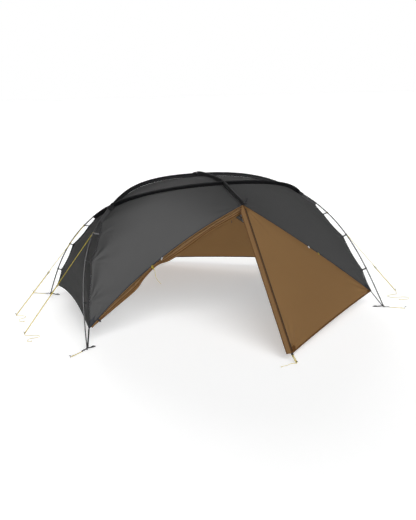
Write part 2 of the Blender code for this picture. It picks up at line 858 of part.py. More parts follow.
def add_foot_straps():
    """A strap from each corner down to the ground, and out past the pole's foot."""
    way = unit((*GROUND_STRAP_WAY, 0))
    aside = np.array((-way[1], way[0], 0))
    half = GROUND_STRAP_WIDTH / 2 * aside
    floor = WEBBING / 2
    foot = np.array((FOOT_X, FOOT_Y - STRAP_BESIDE_FOOT, floor))
    corner = np.array(CORNER)
    low = foot + CORNER_STRAP_REACH * way
    drop = unit(low - corner)
    wide = CORNER_STRAP_WIDTH / 2 * unit(np.cross(drop, (0, 0, 1)))
    top = corner + SEAM_GAP * drop
    flare = corner + CORNER_STRAP_FLARE * drop
    rise_rows = [[top - wide / 2, top + wide / 2], [flare - wide, flare + wide]]
    rise_rows.append([low - wide, low + wide])
    centre = foot + STRAP_BUCKLE_REACH * way + (0, 0, STRAP_BUCKLE[2] / 2 - floor)
    for y_name, y in ENDS.items():
        for x_name, x in SIDES.items():
            name = f"foot_strap_{y_name}_{x_name}"
            rows = []
            for reach in GROUND_STRAP_REACHES:
                rows.append([foot + reach * way - half, foot + reach * way + half])
            ground = sheet(name, flip(rows, x=x, y=y), WEBBING, black_webbing())
            rise = sheet(name + "_rise", flip(rise_rows, x=x, y=y), WEBBING, black_webbing())
            buckle = block(
                name + "_buckle",
                flip([centre], x=x, y=y)[0],
                STRAP_BUCKLE,
                flip([way], x=x, y=y)[0],
                black_webbing(),
            )
            fuse(ground, [rise, buckle])


def add_peak_tabs():
    """The tab under each ridge pole tip that pulls the porch peak out."""
    tip_way = unit(RIDGE_POLE[0] - RIDGE_POLE[1])
    below = np.array((0, tip_way[2], -tip_way[1]))
    below = -below if below[2] > 0 else below
    under = RIDGE_POLE[0] + below * (POLE_DIAMETER / 2 + WEBBING / 2 + TOUCH)
    meets = under - PEAK_TAB_LAP * tip_way
    path = [PEAK + unit(meets - PEAK) * SEAM_GAP, meets, under + PEAK_TAB_PAST * tip_way]
    half = np.array((PEAK_TAB_WIDTH / 2, 0, 0))
    rows = [[point - half, point + half] for point in path]
    for y_name, y in ENDS.items():
        sheet(f"peak_tab_{y_name}", flip(rows, y=-y), WEBBING, black_webbing())


# Guy lines, stakes and their cords.


def stake(name, place, lean):
    """The head of a ground stake: a bent rod standing on the ground."""
    lean = unit((*lean, 0)) * STAKE_HEIGHT
    points = [(*place, 0) + lean * out + (0, 0, up * STAKE_HEIGHT) for out, up in STAKE_BEND]
    return tube(name, points, STAKE_DIAMETER, stake_finish(), detail=1)


def stake_clear(way):
    """How far before a stake's centre a cord ends, so that its rim just clears the rod."""
    rim = CORD_DIAMETER / 2 * abs(way[2])
    return (STAKE_DIAMETER / 2 + rim + TOUCH) / math.hypot(way[0], way[1])


def add_guy_lines():
    for y_name, y in ENDS.items():
        leg = pole_leg(y)
        hold = leg[TAB_STATIONS[0]]
        pole_way = leg_way(leg, TAB_STATIONS[0])
        for x_name, x in SIDES.items():
            anchor = np.array((GUY_ANCHOR_X, GUY_ANCHOR_Y[x_name], CORD_HOLD_Z))
            way = unit(anchor - hold)
            slant = np.linalg.norm(np.cross(way, pole_way))
            start = hold + way * GUY_CLEAR / slant
            end = anchor - way * stake_clear(way)
            line = tube(
                f"guy_line_{y_name}_{x_name}",
                flip([start, (start + end) / 2, end], x=x, y=y),
                CORD_DIAMETER,
                yellow_cord(),
            )
            line = mesh_of(line)
            centre = flip([start + GUY_SLIDER_AT[x_name] * (end - start)], x=x, y=y)[0]
            slider = block(
                line.name + "_slider",
                centre,
                GUY_SLIDER,
                flip([way], x=x, y=y)[0],
                yellow_cord(),
            )
            fuse(line, [slider])
            place = anchor[:2] * (x, y)
            stake(f"guy_stake_{y_name}_{x_name}", place, (x, GUY_STAKE_TURN * y))


def add_porch_stakes():
    for y_name, y in ENDS.items():
        place = np.array((0, -PORCH_STAKE_Y, CORD_HOLD_Z))
        way = unit(place - LOW_POINT)
        low = LOW_POINT + way * SEAM_GAP
        end = place - way * stake_clear(way)
        rows = flip([low, low + 0.5 * (end - low), end], y=-y)
        tube(f"porch_loop_{y_name}", rows, CORD_DIAMETER, yellow_cord())
        stake(f"porch_stake_{y_name}", (0, y * PORCH_STAKE_Y), (0, y))


def add_foot_stakes():
    """A short cord from each ground strap to its stake."""
    way = unit((*GROUND_STRAP_WAY, 0))
    start = np.array((FOOT_X, FOOT_Y - STRAP_BESIDE_FOOT, CORD_LIE))
    start = start + (GROUND_STRAP_REACHES[-1] + 2 * TOUCH) * way
    end = np.array((*FOOT_STAKE, CORD_LIE))
    end = end + unit(start - end) * (STAKE_DIAMETER / 2 - STAKE_BITE)
    for y_name, y in ENDS.items():
        for x_name, x in SIDES.items():
            name = f"foot_cord_{y_name}_{x_name}"
            points = flip([start, start + 0.5 * (end - start), end], x=x, y=y)
            cord = mesh_of(tube(name, points, CORD_DIAMETER, yellow_cord()))
            place = np.array(FOOT_STAKE) * (x, y)
            head = mesh_of(stake(name + "_stake", place, (x * way[0], y * way[1])))
            fuse(cord, [head])


# Loose cord ends.


def cord_tail(name, route):
    """A loose cord along a smooth curve through its route."""
    curve = smooth(route)
    parts = max(8, round(run_of(curve)[-1] / CORD_STEP))
    points = along(curve, np.linspace(0, 1, parts + 1))
    tube(name, points, CORD_DIAMETER, yellow_cord())


def on_ground(route):
    return [(x, y, CORD_LIE) for x, y in route]


def add_cord_tails():
    cord_tail("guy_tail_back_left", on_ground(GUY_TAIL_LEFT_BACK))
    cord_tail("guy_tail_front_left", on_ground(GUY_TAIL_LEFT_FRONT))
    right = on_ground(GUY_TAIL_RIGHT)
    cord_tail("guy_tail_front_right", right)
    cord_tail("guy_tail_back_right", flip(right, y=-1))
    porch = on_ground(PORCH_TAIL)
    cord_tail("porch_tail_front", porch)
    cord_tail("porch_tail_back", flip(porch, x=-1, y=-1))
    cord_tail("roll_tie_tail", ROLL_TIE_TAIL)


def build():
    clear_scene()
    for name in list(bpy.data.collections.keys()):
        bpy.data.collections.remove(bpy.data.collections[name])
    parts = bpy.data.collections.new(COLLECTION)
    bpy.context.scene.collection.children.link(parts)
    add_main_poles()
    add_ridge_pole()
    add_grey_panels()
    add_end_panels()
    add_roof()
    add_doors()
    add_rolled_door()
    add_storm_flaps()
    add_ridge_sleeves()
    add_ridge_pole_sleeves()
    add_edgings()
    add_foot_straps()
    add_peak_tabs()
    add_guy_lines()
    add_porch_stakes()
    add_foot_stakes()
    add_cord_tails()


build()
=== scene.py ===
"""Looks of a two-person pole tent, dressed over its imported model.

Metres, +Z up. X runs along the canopy and Y towards the back porch. Left and right are as
seen from the front porch.
"""

import math

import bmesh
import bpy
import numpy as np
from mathutils import Matrix, Vector


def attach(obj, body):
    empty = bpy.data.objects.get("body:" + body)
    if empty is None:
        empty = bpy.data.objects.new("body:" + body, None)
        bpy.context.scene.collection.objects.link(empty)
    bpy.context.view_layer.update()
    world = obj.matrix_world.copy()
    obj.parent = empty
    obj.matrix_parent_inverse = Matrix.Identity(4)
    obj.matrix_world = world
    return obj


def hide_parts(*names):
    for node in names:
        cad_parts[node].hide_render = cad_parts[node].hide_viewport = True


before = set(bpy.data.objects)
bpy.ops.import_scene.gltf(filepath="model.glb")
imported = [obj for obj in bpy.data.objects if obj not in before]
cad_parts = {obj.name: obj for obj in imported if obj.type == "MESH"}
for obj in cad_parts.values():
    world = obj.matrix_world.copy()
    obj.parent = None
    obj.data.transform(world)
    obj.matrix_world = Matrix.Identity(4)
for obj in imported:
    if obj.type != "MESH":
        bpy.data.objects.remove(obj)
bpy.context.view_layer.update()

# Camera. It stands a little above head height of the porch, in front of the left corner, as
# for a catalogue picture, with a normal lens and a slight tilt.
CAMERA_PLACE = (-2.2427, -5.7432, 1.8988)
CAMERA_TURN = math.radians(21.161)
CAMERA_DIP = math.radians(13.984)
CAMERA_ROLL = math.radians(-0.767)
CAMERA_LENS = 51.0

ahead = Vector(
    (
        math.sin(CAMERA_TURN) * math.cos(CAMERA_DIP),
        math.cos(CAMERA_TURN) * math.cos(CAMERA_DIP),
        -math.sin(CAMERA_DIP),
    )
)
level = ahead.cross((0, 0, 1)).normalized()
above = level.cross(ahead)
rightward = math.cos(CAMERA_ROLL) * level + math.sin(CAMERA_ROLL) * above
upward = math.cos(CAMERA_ROLL) * above - math.sin(CAMERA_ROLL) * level
camera = bpy.data.objects.new("camera", bpy.data.cameras.new("camera"))
camera.data.lens = CAMERA_LENS
camera.matrix_world = Matrix.Translation(CAMERA_PLACE) @ (
    Matrix((rightward, upward, -ahead)).transposed().to_4x4()
)
bpy.context.scene.collection.objects.link(camera)
bpy.context.scene.camera = camera

# Loose ends of the guy lines and of the porch loops. Each is a limp, braided polyester cord
# that starts at its stake, wanders over the ground and ends in an overhand knot.
CORD_DIAMETER = 0.003
CORD_LIE = 0.0017
CORD_YELLOW = (0.62, 0.49, 0.045, 1)
# CORD_SHADE is painted shade, for the dips between the braid's strands.
CORD_SHADE = (0.47, 0.36, 0.025, 1)
CORD_GLOSS = 0.15
CORD_RING = 0.003
BRAID_TURNS = 6
BRAID_RATE = 2100.0
KNOT_LOOP = 0.0026
GUY_TAIL_LEFT_BACK = (
    (-1.6279, 0.2441),
    (-1.604, 0.228),
    (-1.566, 0.203),
    (-1.566, 0.170),
    (-1.600, 0.146),
    (-1.626, 0.112),
    (-1.622, 0.078),
    (-1.590, 0.064),
)
GUY_TAIL_LEFT_FRONT = (
    (-1.6302, -0.2473),
    (-1.632, -0.275),
    (-1.590, -0.297),
    (-1.545, -0.312),
    (-1.530, -0.342),
    (-1.560, -0.364),
    (-1.598, -0.366),
    (-1.626, -0.388),
    (-1.630, -0.424),
    (-1.604, -0.430),
)
GUY_TAIL_RIGHT = (
    (1.6294, -0.4082),
    (1.618, -0.442),
    (1.580, -0.488),
    (1.520, -0.494),
    (1.478, -0.506),
    (1.470, -0.545),
    (1.505, -0.572),
    (1.560, -0.582),
    (1.600, -0.600),
    (1.608, -0.636),
    (1.565, -0.660),
    (1.500, -0.648),
)
PORCH_TAIL = (
    (-0.0023, -1.5897),
    (-0.024, -1.582),
    (-0.052, -1.586),
    (-0.082, -1.600),
    (-0.104, -1.600),
    (-0.128, -1.612),
)


def unit(vectors):
    vectors = np.asarray(vectors, float)
    return vectors / np.linalg.norm(vectors, axis=-1, keepdims=True)


def flip(points, x=1, y=1):
    """The points mirrored in X, in Y or in both."""
    return np.asarray(points, float) * (x, y, 1)


def run_of(line):
    return np.r_[0, np.cumsum(np.linalg.norm(np.diff(line, axis=0), axis=1))]


def along(line, shares):
    """Points of a line at shares of its length."""
    run = run_of(line)
    at = np.asarray(shares) * run[-1]
    return np.stack([np.interp(at, run, line[:, axis]) for axis in range(3)], axis=1)


def smooth(knots, count=2400):
    """A natural cubic spline through the knots, as closely spaced points."""
    knots = np.array(knots, float)
    steps = np.linalg.norm(np.diff(knots, axis=0), axis=1)
    at = np.r_[0, np.cumsum(steps)]
    system = np.eye(len(knots))
    known = np.zeros((len(knots), 3))
    for i in range(1, len(knots) - 1):
        before, after = steps[i - 1], steps[i]
        system[i, i - 1 : i + 2] = before, 2 * (before + after), after
        rise = (knots[i + 1] - knots[i]) / after
        known[i] = 6 * (rise - (knots[i] - knots[i - 1]) / before)
    bend = np.linalg.solve(system, known)
    run = np.linspace(0, at[-1], count)
    i = np.clip(np.searchsorted(at, run, side="right") - 1, 0, len(knots) - 2)
    step = steps[i][:, None]
    past = (run - at[i])[:, None]
    left = step - past
    curved = (bend[i] * left**3 + bend[i + 1] * past**3) / (6 * step)
    straight = (knots[i] / step - bend[i] * step / 6) * left
    return curved + straight + (knots[i + 1] / step - bend[i + 1] * step / 6) * past


class Wire:
    """One socket of a node tree, so that sums of sockets are written as sums."""

    def __init__(self, tree, socket=None):
        self.tree = tree
        self.socket = socket

    def node(self, kind, settings=None, inputs=None, output=0):
        """Adds a node, sets it, joins or sets its inputs, and gives one output."""
        made = self.tree.nodes.new(kind)
        for key, value in (settings or {}).items():
            if key == "stops":
                for stop, (place, colour) in zip(made.color_ramp.elements, value):
                    stop.position = place
                    stop.color = colour
            else:
                setattr(made, key, value)
        for key, value in (inputs or {}).items():
            if isinstance(value, Wire):
                self.tree.links.new(value.socket, made.inputs[key])
            else:
                made.inputs[key].default_value = value
        return Wire(self.tree, made.outputs[output])

    def other(self, output):
        """Another output of the same node."""
        return Wire(self.tree, self.socket.node.outputs[output])

    def feed(self, node, name):
        """Joins this socket to an input of a node."""
        self.tree.links.new(self.socket, node.inputs[name])

    def maths(self, operation, *values):
        every = dict(enumerate(values))
        return self.node("ShaderNodeMath", {"operation": operation}, every)

    def __add__(self, other):
        return self.maths("ADD", self, other)

    def __sub__(self, other):
        return self.maths("SUBTRACT", self, other)

    def __rsub__(self, other):
        return self.maths("SUBTRACT", other, self)

    def __mul__(self, other):
        return self.maths("MULTIPLY", self, other)

    def __truediv__(self, other):
        return self.maths("DIVIDE", self, other)

    __radd__ = __add__
    __rmul__ = __mul__

    def mixed(self, share, first, second):
        """A colour between two others."""
        joined = {0: share, 6: first, 7: second}
        return self.node("ShaderNodeMix", {"data_type": "RGBA"}, joined, output=2)

    def noise(self, vector, scale, detail=3.0, roughness=0.55):
        joined = {"Vector": vector, "Scale": scale, "Detail": detail, "Roughness": roughness}
        return self.node("ShaderNodeTexNoise", None, joined)

    def bump(self, height, distance, strength=1.0):
        joined = {"Height": height, "Distance": distance, "Strength": strength}
        return self.node("ShaderNodeBump", None, joined)


def new_finish(name, colour, roughness, metallic=0.0):
    """A material, its main shader, and a wire that adds nodes to it."""
    made = bpy.data.materials.new(name)
    made.use_nodes = True
    shader = made.node_tree.nodes["Principled BSDF"]
    shader.inputs["Base Color"].default_value = colour
    shader.inputs["Roughness"].default_value = roughness
    shader.inputs["Metallic"].default_value = metallic
    return made, shader, Wire(made.node_tree)


def cord_finish():
    """Bright braid: strands that cross round the cord, with painted shade where they dip."""
    made, shader, add = new_finish("cord_braid", CORD_YELLOW, 0.6)
    length = add.node("ShaderNodeAttribute", {"attribute_name": "along"}, output="Fac")
    rim = add.node("ShaderNodeAttribute", {"attribute_name": "rim"}, output="Vector")
    across = rim.node("ShaderNodeSeparateXYZ", None, {0: rim})
    turn = add.maths("ARCTAN2", across.other("Y"), across) * BRAID_TURNS
    over = add.maths("SINE", turn + length * BRAID_RATE)
    under = add.maths("SINE", turn - length * BRAID_RATE)
    strand = add.maths("MAXIMUM", over, under)
    # Painted shade: where the strands dip, the colour goes over to CORD_SHADE.
    share = add.node("ShaderNodeMapRange", None, {"Value": strand, 1: -0.4, 2: 0.6})
    add.mixed(share, CORD_SHADE, CORD_YELLOW).feed(shader, "Base Color")
    add.bump(strand, 0.0002, 0.6).feed(shader, "Normal")
    shader.inputs["Specular IOR Level"].default_value = CORD_GLOSS
    return made


def group_tree(name, inputs):
    """An empty geometry tree with a geometry socket each way and named inputs."""
    tree = bpy.data.node_groups.new(name, "GeometryNodeTree")
    tree.interface.new_socket("Geometry", in_out="OUTPUT", socket_type="NodeSocketGeometry")
    tree.interface.new_socket("Geometry", in_out="INPUT", socket_type="NodeSocketGeometry")
    for label, kind in inputs:
        tree.interface.new_socket(label, in_out="INPUT", socket_type="NodeSocket" + kind)
    return tree, Wire(tree).node("NodeGroupInput", output="Geometry")


def end_tree(tree, geometry, finish):
    """Closes a tree: real geometry, smooth, in its finish."""
    real = geometry.node("GeometryNodeRealizeInstances", None, {0: geometry})
    even = real.node("GeometryNodeSetShadeSmooth", None, {0: real})
    done = even.node("GeometryNodeSetMaterial", None, {"Geometry": even, "Material": finish})
    done.feed(tree.nodes.new("NodeGroupOutput"), "Geometry")


def sweep_tree():
    """A round tube along a line. It keeps how far along and which way round for the finish."""
    kinds = (("Diameter", "Float"), ("Sides", "Int"), ("Finish", "Material"))
    tree, start = group_tree("sweep_along_line", kinds)
    line = start.node("GeometryNodeMeshToCurve", None, {0: start})
    length = start.node("GeometryNodeSplineParameter", output="Length")
    named = {"Geometry": line, "Name": "along", "Value": length}
    line = line.node("GeometryNodeStoreNamedAttribute", {"data_type": "FLOAT"}, named)
    radius = start.other("Diameter") * 0.5
    sized = {"Resolution": start.other("Sides"), "Radius": radius}
    ring = start.node("GeometryNodeCurvePrimitiveCircle", None, sized)
    place = start.node("GeometryNodeInputPosition")
    over = start.node("ShaderNodeCombineXYZ", None, {0: radius, 1: radius, 2: radius})
    way = start.node("ShaderNodeVectorMath", {"operation": "DIVIDE"}, {0: place, 1: over})
    named = {"Geometry": ring, "Name": "rim", "Value": way}
    kind = {"data_type": "FLOAT_VECTOR"}
    ring = ring.node("GeometryNodeStoreNamedAttribute", kind, named)
    joined = {"Curve": line, "Profile Curve": ring, "Fill Caps": True}
    tube = line.node("GeometryNodeCurveToMesh", None, joined)
    end_tree(tree, tube, start.other("Finish"))
    return tree


def grown(name, lines, tree, inputs, closed=False):
    """A plain mesh piece that a tree makes from lines of points."""
    mesh = bpy.data.meshes.new(name)
    points = np.vstack(lines)
    edges, first = [], 0
    for line in lines:
        count = len(line)
        edges += [(first + i, first + i + 1) for i in range(count - 1)]
        if closed:
            edges.append((first + count - 1, first))
        first += count
    mesh.from_pydata(points.tolist(), edges, [])
    piece = bpy.data.objects.new(name, mesh)
    bpy.context.scene.collection.objects.link(piece)
    nodes = piece.modifiers.new("growth", "NODES")
    nodes.node_group = tree
    for item in tree.interface.items_tree:
        if item.in_out == "INPUT" and item.name in inputs:
            nodes[item.identifier] = inputs[item.name]
    bpy.context.view_layer.update()
    graph = bpy.context.evaluated_depsgraph_get()
    shape = piece.evaluated_get(graph)
    made = bpy.data.meshes.new_from_object(shape, preserve_all_data_layers=True, depsgraph=graph)
    piece.modifiers.clear()
    piece.data = made
    made.name = name
    return piece


def swept(name, lines, diameter, finish, sides=10, closed=False):
    """Round cords, rods or wires along one or more lines."""
    lines = [np.asarray(line, float) for line in lines]
    sizes = {"Diameter": diameter, "Sides": sides, "Finish": finish}
    return grown(name, lines, SWEEP, sizes, closed)


def dressed(piece, slot, *nodes):
    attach(piece, "root")
    if nodes:
        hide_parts(*nodes)
    return piece


def knot_line(place, way):
    """The centre line of a small overhand knot round a place, with the cord running way."""
    way = unit(way)
    side = unit(np.cross(way, (0, 0, 1)))
    rise = np.cross(side, way)
    turns = np.linspace(0.35, 2 * math.pi - 0.35, 44)[:, None]
    flat = np.sin(turns) + 2 * np.sin(2 * turns)
    tall = np.cos(turns) - 2 * np.cos(2 * turns)
    deep = -np.sin(3 * turns)
    bulk = KNOT_LOOP * 0.42
    return place + bulk * (side * flat + way * tall * 1.3 + rise * deep)


SWEEP = sweep_tree()
BRAID = cord_finish()


def lay_tail(name, route):
    """A loose cord end on the ground, with the knot at its far end."""
    curve = smooth([(x, y, CORD_LIE) for x, y in route])
    length = run_of(curve)[-1]
    points = along(curve, np.linspace(0, 1, max(12, round(length / CORD_RING)) + 1))
    cord = dressed(swept(name, [points], CORD_DIAMETER, BRAID), "cord", name)
    end = points[-1] + (0, 0, KNOT_LOOP)
    knot = swept(name + "_knot", [knot_line(end, points[-1] - points[-2])], CORD_DIAMETER * 0.8, BRAID)
    dressed(knot, "cord")


lay_tail("guy_tail_back_left", GUY_TAIL_LEFT_BACK)
lay_tail("guy_tail_front_left", GUY_TAIL_LEFT_FRONT)
lay_tail("guy_tail_front_right", GUY_TAIL_RIGHT)
lay_tail("guy_tail_back_right", [(x, -y) for x, y in GUY_TAIL_RIGHT])
lay_tail("porch_tail_front", PORCH_TAIL)
lay_tail("porch_tail_back", [(-x, -y) for x, y in PORCH_TAIL])

# Poles. Two long ones cross over each end of the canopy and a short one runs over the roof.
# They are dark anodised aluminium tubes in sections, each plugged into the next at a collar.
POLE_DIAMETER = 0.0095
POLE_GREY = (0.011, 0.011, 0.012, 1)
POLE_PALE = (0.060, 0.060, 0.064, 1)
POLE_SECTION = 0.385
COLLAR = (0.012, 0.0094)
FOOT_X, FOOT_Y, FOOT_Z = 1.26, 0.767, 0.0052
SHOULDER = (-1.011, 0.137, 0.763)
CROSSING = (-0.858, 0.0, 0.898)
UPPER_BEND = (-0.627, -0.1745, 1.008)
RIDGE_Y, RIDGE_Z = 0.297, 1.076
CROSSING_LIFT = 0.0046
CROSSING_NORMAL = (-0.553, 0, 0.833)
RIDGE_POLE_KNOTS = ((0, -0.744, 0.970), (0, -0.507, 1.034), (0, -0.297, 1.0885))
RIDGE_POLE_TOP = (0, 0, 1.104)
RIDGE_PARTS = 150
SIDES = {"left": -1, "right": 1}
ENDS = {"front": -1, "back": 1}


def main_pole_curve(lift):
    """The pole over the front ridge, its crossings lifted along their normal."""
    crossing = np.array(CROSSING) + lift * np.array(CROSSING_NORMAL)
    half = np.array([(-FOOT_X, FOOT_Y, FOOT_Z), SHOULDER, crossing, UPPER_BEND])
    return smooth(np.vstack([half, [(0, -RIDGE_Y, RIDGE_Z)], flip(half, x=-1)[::-1]]))


def pole_finish():
    """Anodised tube: a satin metal with faint rubbed streaks along it."""
    made, shader, add = new_finish("pole_anodised", POLE_GREY, 0.34, 0.15)
    place = add.node("ShaderNodeTexCoord", output="Object")
    length = add.node("ShaderNodeAttribute", {"attribute_name": "along"}, output="Fac")
    rubbed = add.noise(place, 38.0, 4.0, 0.65)
    inside = add.maths("PINGPONG", length, POLE_SECTION / 2)
    near_joint = add.node("ShaderNodeMapRange", None, {"Value": inside, 1: 0.03, 2: 0.0})
    wear = add.maths("MULTIPLY", rubbed, near_joint) * 0.9
    add.mixed(wear, POLE_GREY, POLE_PALE).feed(shader, "Base Color")
    (rubbed * 0.22 + 0.24).feed(shader, "Roughness")
    return made


def bits_tree():
    """Small rounded bits, one after another along lines: collars, stitches or zip teeth."""
    kinds = (("Pitch", "Float"), ("Size", "Vector"), ("Sides", "Int"), ("Rings", "Int"))
    tree, start = group_tree("bits_along_line", (*kinds, ("Finish", "Material")))
    line = start.node("GeometryNodeMeshToCurve", None, {0: start})
    step = {"Curve": line, "Length": start.other("Pitch")}
    spots = line.node("GeometryNodeResampleCurve", {"mode": "LENGTH"}, step)
    sized = {"Segments": start.other("Sides"), "Rings": start.other("Rings"), "Radius": 0.5}
    bit = start.node("GeometryNodeMeshUVSphere", None, sized)
    way = start.node("GeometryNodeInputTangent")
    turn = start.node("FunctionNodeAlignRotationToVector", {"axis": "Z"}, {"Vector": way})
    placed = {"Points": spots, "Instance": bit, "Rotation": turn, "Scale": start.other("Size")}
    end_tree(tree, spots.node("GeometryNodeInstanceOnPoints", None, placed), start.other("Finish"))
    return tree


BITS = bits_tree()


def bits(name, lines, pitch, size, finish, sides=6, rings=4):
    """Bits along lines, each size = (wide, high, long)."""
    sizes = {"Pitch": pitch, "Size": size, "Sides": sides, "Rings": rings, "Finish": finish}
    return grown(name, [np.asarray(line, float) for line in lines], BITS, sizes)


ANODISED = pole_finish()
FRONT_POLE_CURVE = main_pole_curve(CROSSING_LIFT)
BACK_POLE_CURVE = flip(main_pole_curve(-CROSSING_LIFT), y=-1)
ridge_half = [*RIDGE_POLE_KNOTS, RIDGE_POLE_TOP]
RIDGE_POLE_CURVE = smooth(np.vstack([ridge_half, flip(ridge_half[:-1], y=-1)[::-1]]))
for name, curve, count in (
    ("main_pole_front", FRONT_POLE_CURVE, 360),
    ("main_pole_back", BACK_POLE_CURVE, 360),
    ("ridge_pole", RIDGE_POLE_CURVE, 120),
):
    points = along(curve, np.linspace(0, 1, count + 1))
    dressed(swept(name + "_tube", [points], POLE_DIAMETER, ANODISED, sides=16), "pole", name)
    sections = max(3, round(run_of(curve)[-1] / POLE_SECTION))
    joints = []
    for share in np.arange(1, sections) / sections:
        half = COLLAR[0] / 2 / run_of(curve)[-1]
        joints.append(along(curve, np.linspace(share - half, share + half, 5)))
    dressed(swept(name + "_collars", joints, COLLAR[1], ANODISED, sides=16), "pole")

# Canopy. Four grey ripstop panels hang between the ridge seams, the porch seams and the pole
# legs. Two end walls and the roof close it. The cloth is thin coated polyester, cut with a
# hollow edge and pulled tight at its corners and tabs, where it creases.
TENT_MIDDLE = np.array((0.0, 0.0, 0.3))
SLEEVE_DROP = 0.028
PEAK = np.array((0, -0.699, 0.954))
CORNER = np.array((1.212, 0.639, 0.111))
LOW_POINT = np.array((0, -1.52, 0.045))
CREST_RISE, CREST_SPREAD = 0.029, 0.22
SIDE_SEAM_BOW, OPEN_SEAM_BOW = 0.05, 0.10
END_HEM_IN, END_HEM_RISE = 0.015, 0.057
SCALLOP_SHARE = 0.03
SLEEVE_END = ((0.955, 0.102, 0.787), 0.80)
TABS = (
    ((0.992, 0.182, 0.717), 0.725),
    ((1.107, 0.334, 0.536), 0.548),
    ((1.181, 0.537, 0.278), 0.288),
)
LEG_PARTS = (10, 18, 28, 36, 30)
END_PARTS = 90
ROOF_PARTS = 64
SEAM_INSET = 0.0005
CANOPY_GREY = (0.054, 0.054, 0.054, 1)
CANOPY_DARK = (0.030, 0.030, 0.031, 1)
COATING_SILVER = (0.40, 0.43, 0.46, 1)
COATING_DULL = (0.34, 0.37, 0.40, 1)
CANOPY_WALL = 0.0004
SCALLOP_FADE = 0.075
RIPSTOP = 0.005
CLOTH_THROUGH = 0.0
CLOTH_GLOSS = 0.06
CORNER_PATCH = 0.075
TAB_PATCH = 0.022


def ridge_seam():
    """The front ridge seam, from the left crossing to the right one."""
    curve = main_pole_curve(0)
    half = len(curve) // 2
    cross = np.interp(CROSSING[2], curve[:half, 2], run_of(curve)[:half] / run_of(curve)[-1])
    poles = along(curve, np.linspace(cross, 1 - cross, 2 * RIDGE_PARTS + 1))
    seam = poles - SLEEVE_DROP * unit(poles - TENT_MIDDLE)
    seam[[0, -1], 1] = 0
    return seam, cross


RIDGE_SEAM, CROSS_SHARE = ridge_seam()
APEX = RIDGE_SEAM[-1]
RIDGE_MIDDLE = RIDGE_SEAM[RIDGE_PARTS]


def hollow(start, end, parts):
    """An edge drawn in towards the tent between two of its tabs."""
    share = np.linspace(0, 1, parts + 1)[:, None]
    way = unit(end - start)
    inward = TENT_MIDDLE - (start + end) / 2
    inward = unit(inward - (inward @ way) * way)
    depth = SCALLOP_SHARE * np.linalg.norm(end - start)
    return start + share * (end - start) + inward * depth * 4 * share * (1 - share)


def leg_seam():
    """The seam at the right back leg, from the crossing down to the corner."""
    knots = [APEX, *(np.array(point) for point, _ in (SLEEVE_END, *TABS)), CORNER]
    first = knots[0] + np.linspace(0, 1, LEG_PARTS[0] + 1)[:-1, None] * (knots[1] - knots[0])
    pieces = [first]
    for start, end, parts in zip(knots[1:], knots[2:], LEG_PARTS[1:]):
        pieces.append(hollow(start, end, parts)[:-1])
    return np.vstack([*pieces, [CORNER]])


LEG_SEAM = leg_seam()
LEG_KNOTS = np.cumsum(LEG_PARTS)


def taut_leg():
    """The same seam as one easy curve through its tabs, as the cloth runs a hand in from it."""
    knots = LEG_SEAM[[0, *LEG_KNOTS]]
    run = run_of(knots)
    spots = np.interp(np.arange(len(LEG_SEAM)), [0, *LEG_KNOTS], run)
    curve = smooth(knots)
    return np.stack([np.interp(spots / run[-1], np.linspace(0, 1, len(curve)), axis) for axis in curve.T], axis=1)


TAUT_LEG = taut_leg()
LEG_HOLLOW = LEG_SEAM - TAUT_LEG
LEG_SHARES = run_of(LEG_SEAM) / run_of(LEG_SEAM)[-1]
GUSSET_SEAM = RIDGE_MIDDLE + LEG_SHARES[:, None] * (PEAK - RIDGE_MIDDLE)


def porch_seam(x, bow):
    """The seam under a front grey panel, from the porch peak to the corner."""
    corner, apex = flip(CORNER, x=x, y=-1), flip(APEX, x=x)
    share = run_of(RIDGE_SEAM[RIDGE_PARTS:])
    share = (share / share[-1])[:, None]
    way = unit(corner - PEAK)
    inward = (RIDGE_MIDDLE + apex) / 2 - (PEAK + corner) / 2
    inward = unit(inward - (inward @ way) * way)
    return PEAK + share * (corner - PEAK) + inward * bow * 4 * share * (1 - share)


def coons(first, last, left, right):
    """A surface through four seams: rows from first to last, with ends on left and right."""
    down = (run_of(left) / run_of(left)[-1] + run_of(right) / run_of(right)[-1]) / 2
    over = (run_of(first) / run_of(first)[-1] + run_of(last) / run_of(last)[-1]) / 2
    v, u = down[:, None, None], over[None, :, None]
    ruled = (1 - v) * first + v * last + (1 - u) * left[:, None] + u * right[:, None]
    top = (1 - u) * first[0] + u * first[-1]
    foot = (1 - u) * last[0] + u * last[-1]
    return ruled - (1 - v) * top - v * foot


def hollowed(rows, hollow, away):
    """The surface with the hollows of one edge, which fade out a hand's breadth from it."""
    return rows + np.exp(-((away / SCALLOP_FADE) ** 2))[..., None] * hollow[:, None]


def inset(rows):
    """The surface drawn in by a hairline from its four seams."""
    rows = rows.copy()
    for edge, inner in ((0, 1), (-1, -2)):
        for line, beside in ((rows[edge], rows[inner]), (rows[:, edge], rows[:, inner])):
            line += SEAM_INSET * unit(beside - line)
    return rows


def lengths(rows):
    """How far each point of a grid is along its row, and down its column."""
    over = np.linalg.norm(np.diff(rows, axis=1), axis=2)
    down = np.linalg.norm(np.diff(rows, axis=0), axis=2)
    over = np.concatenate([np.zeros((len(rows), 1)), over.cumsum(axis=1)], axis=1)
    down = np.concatenate([np.zeros((1, rows.shape[1])), down.cumsum(axis=0)], axis=0)
    return over, down


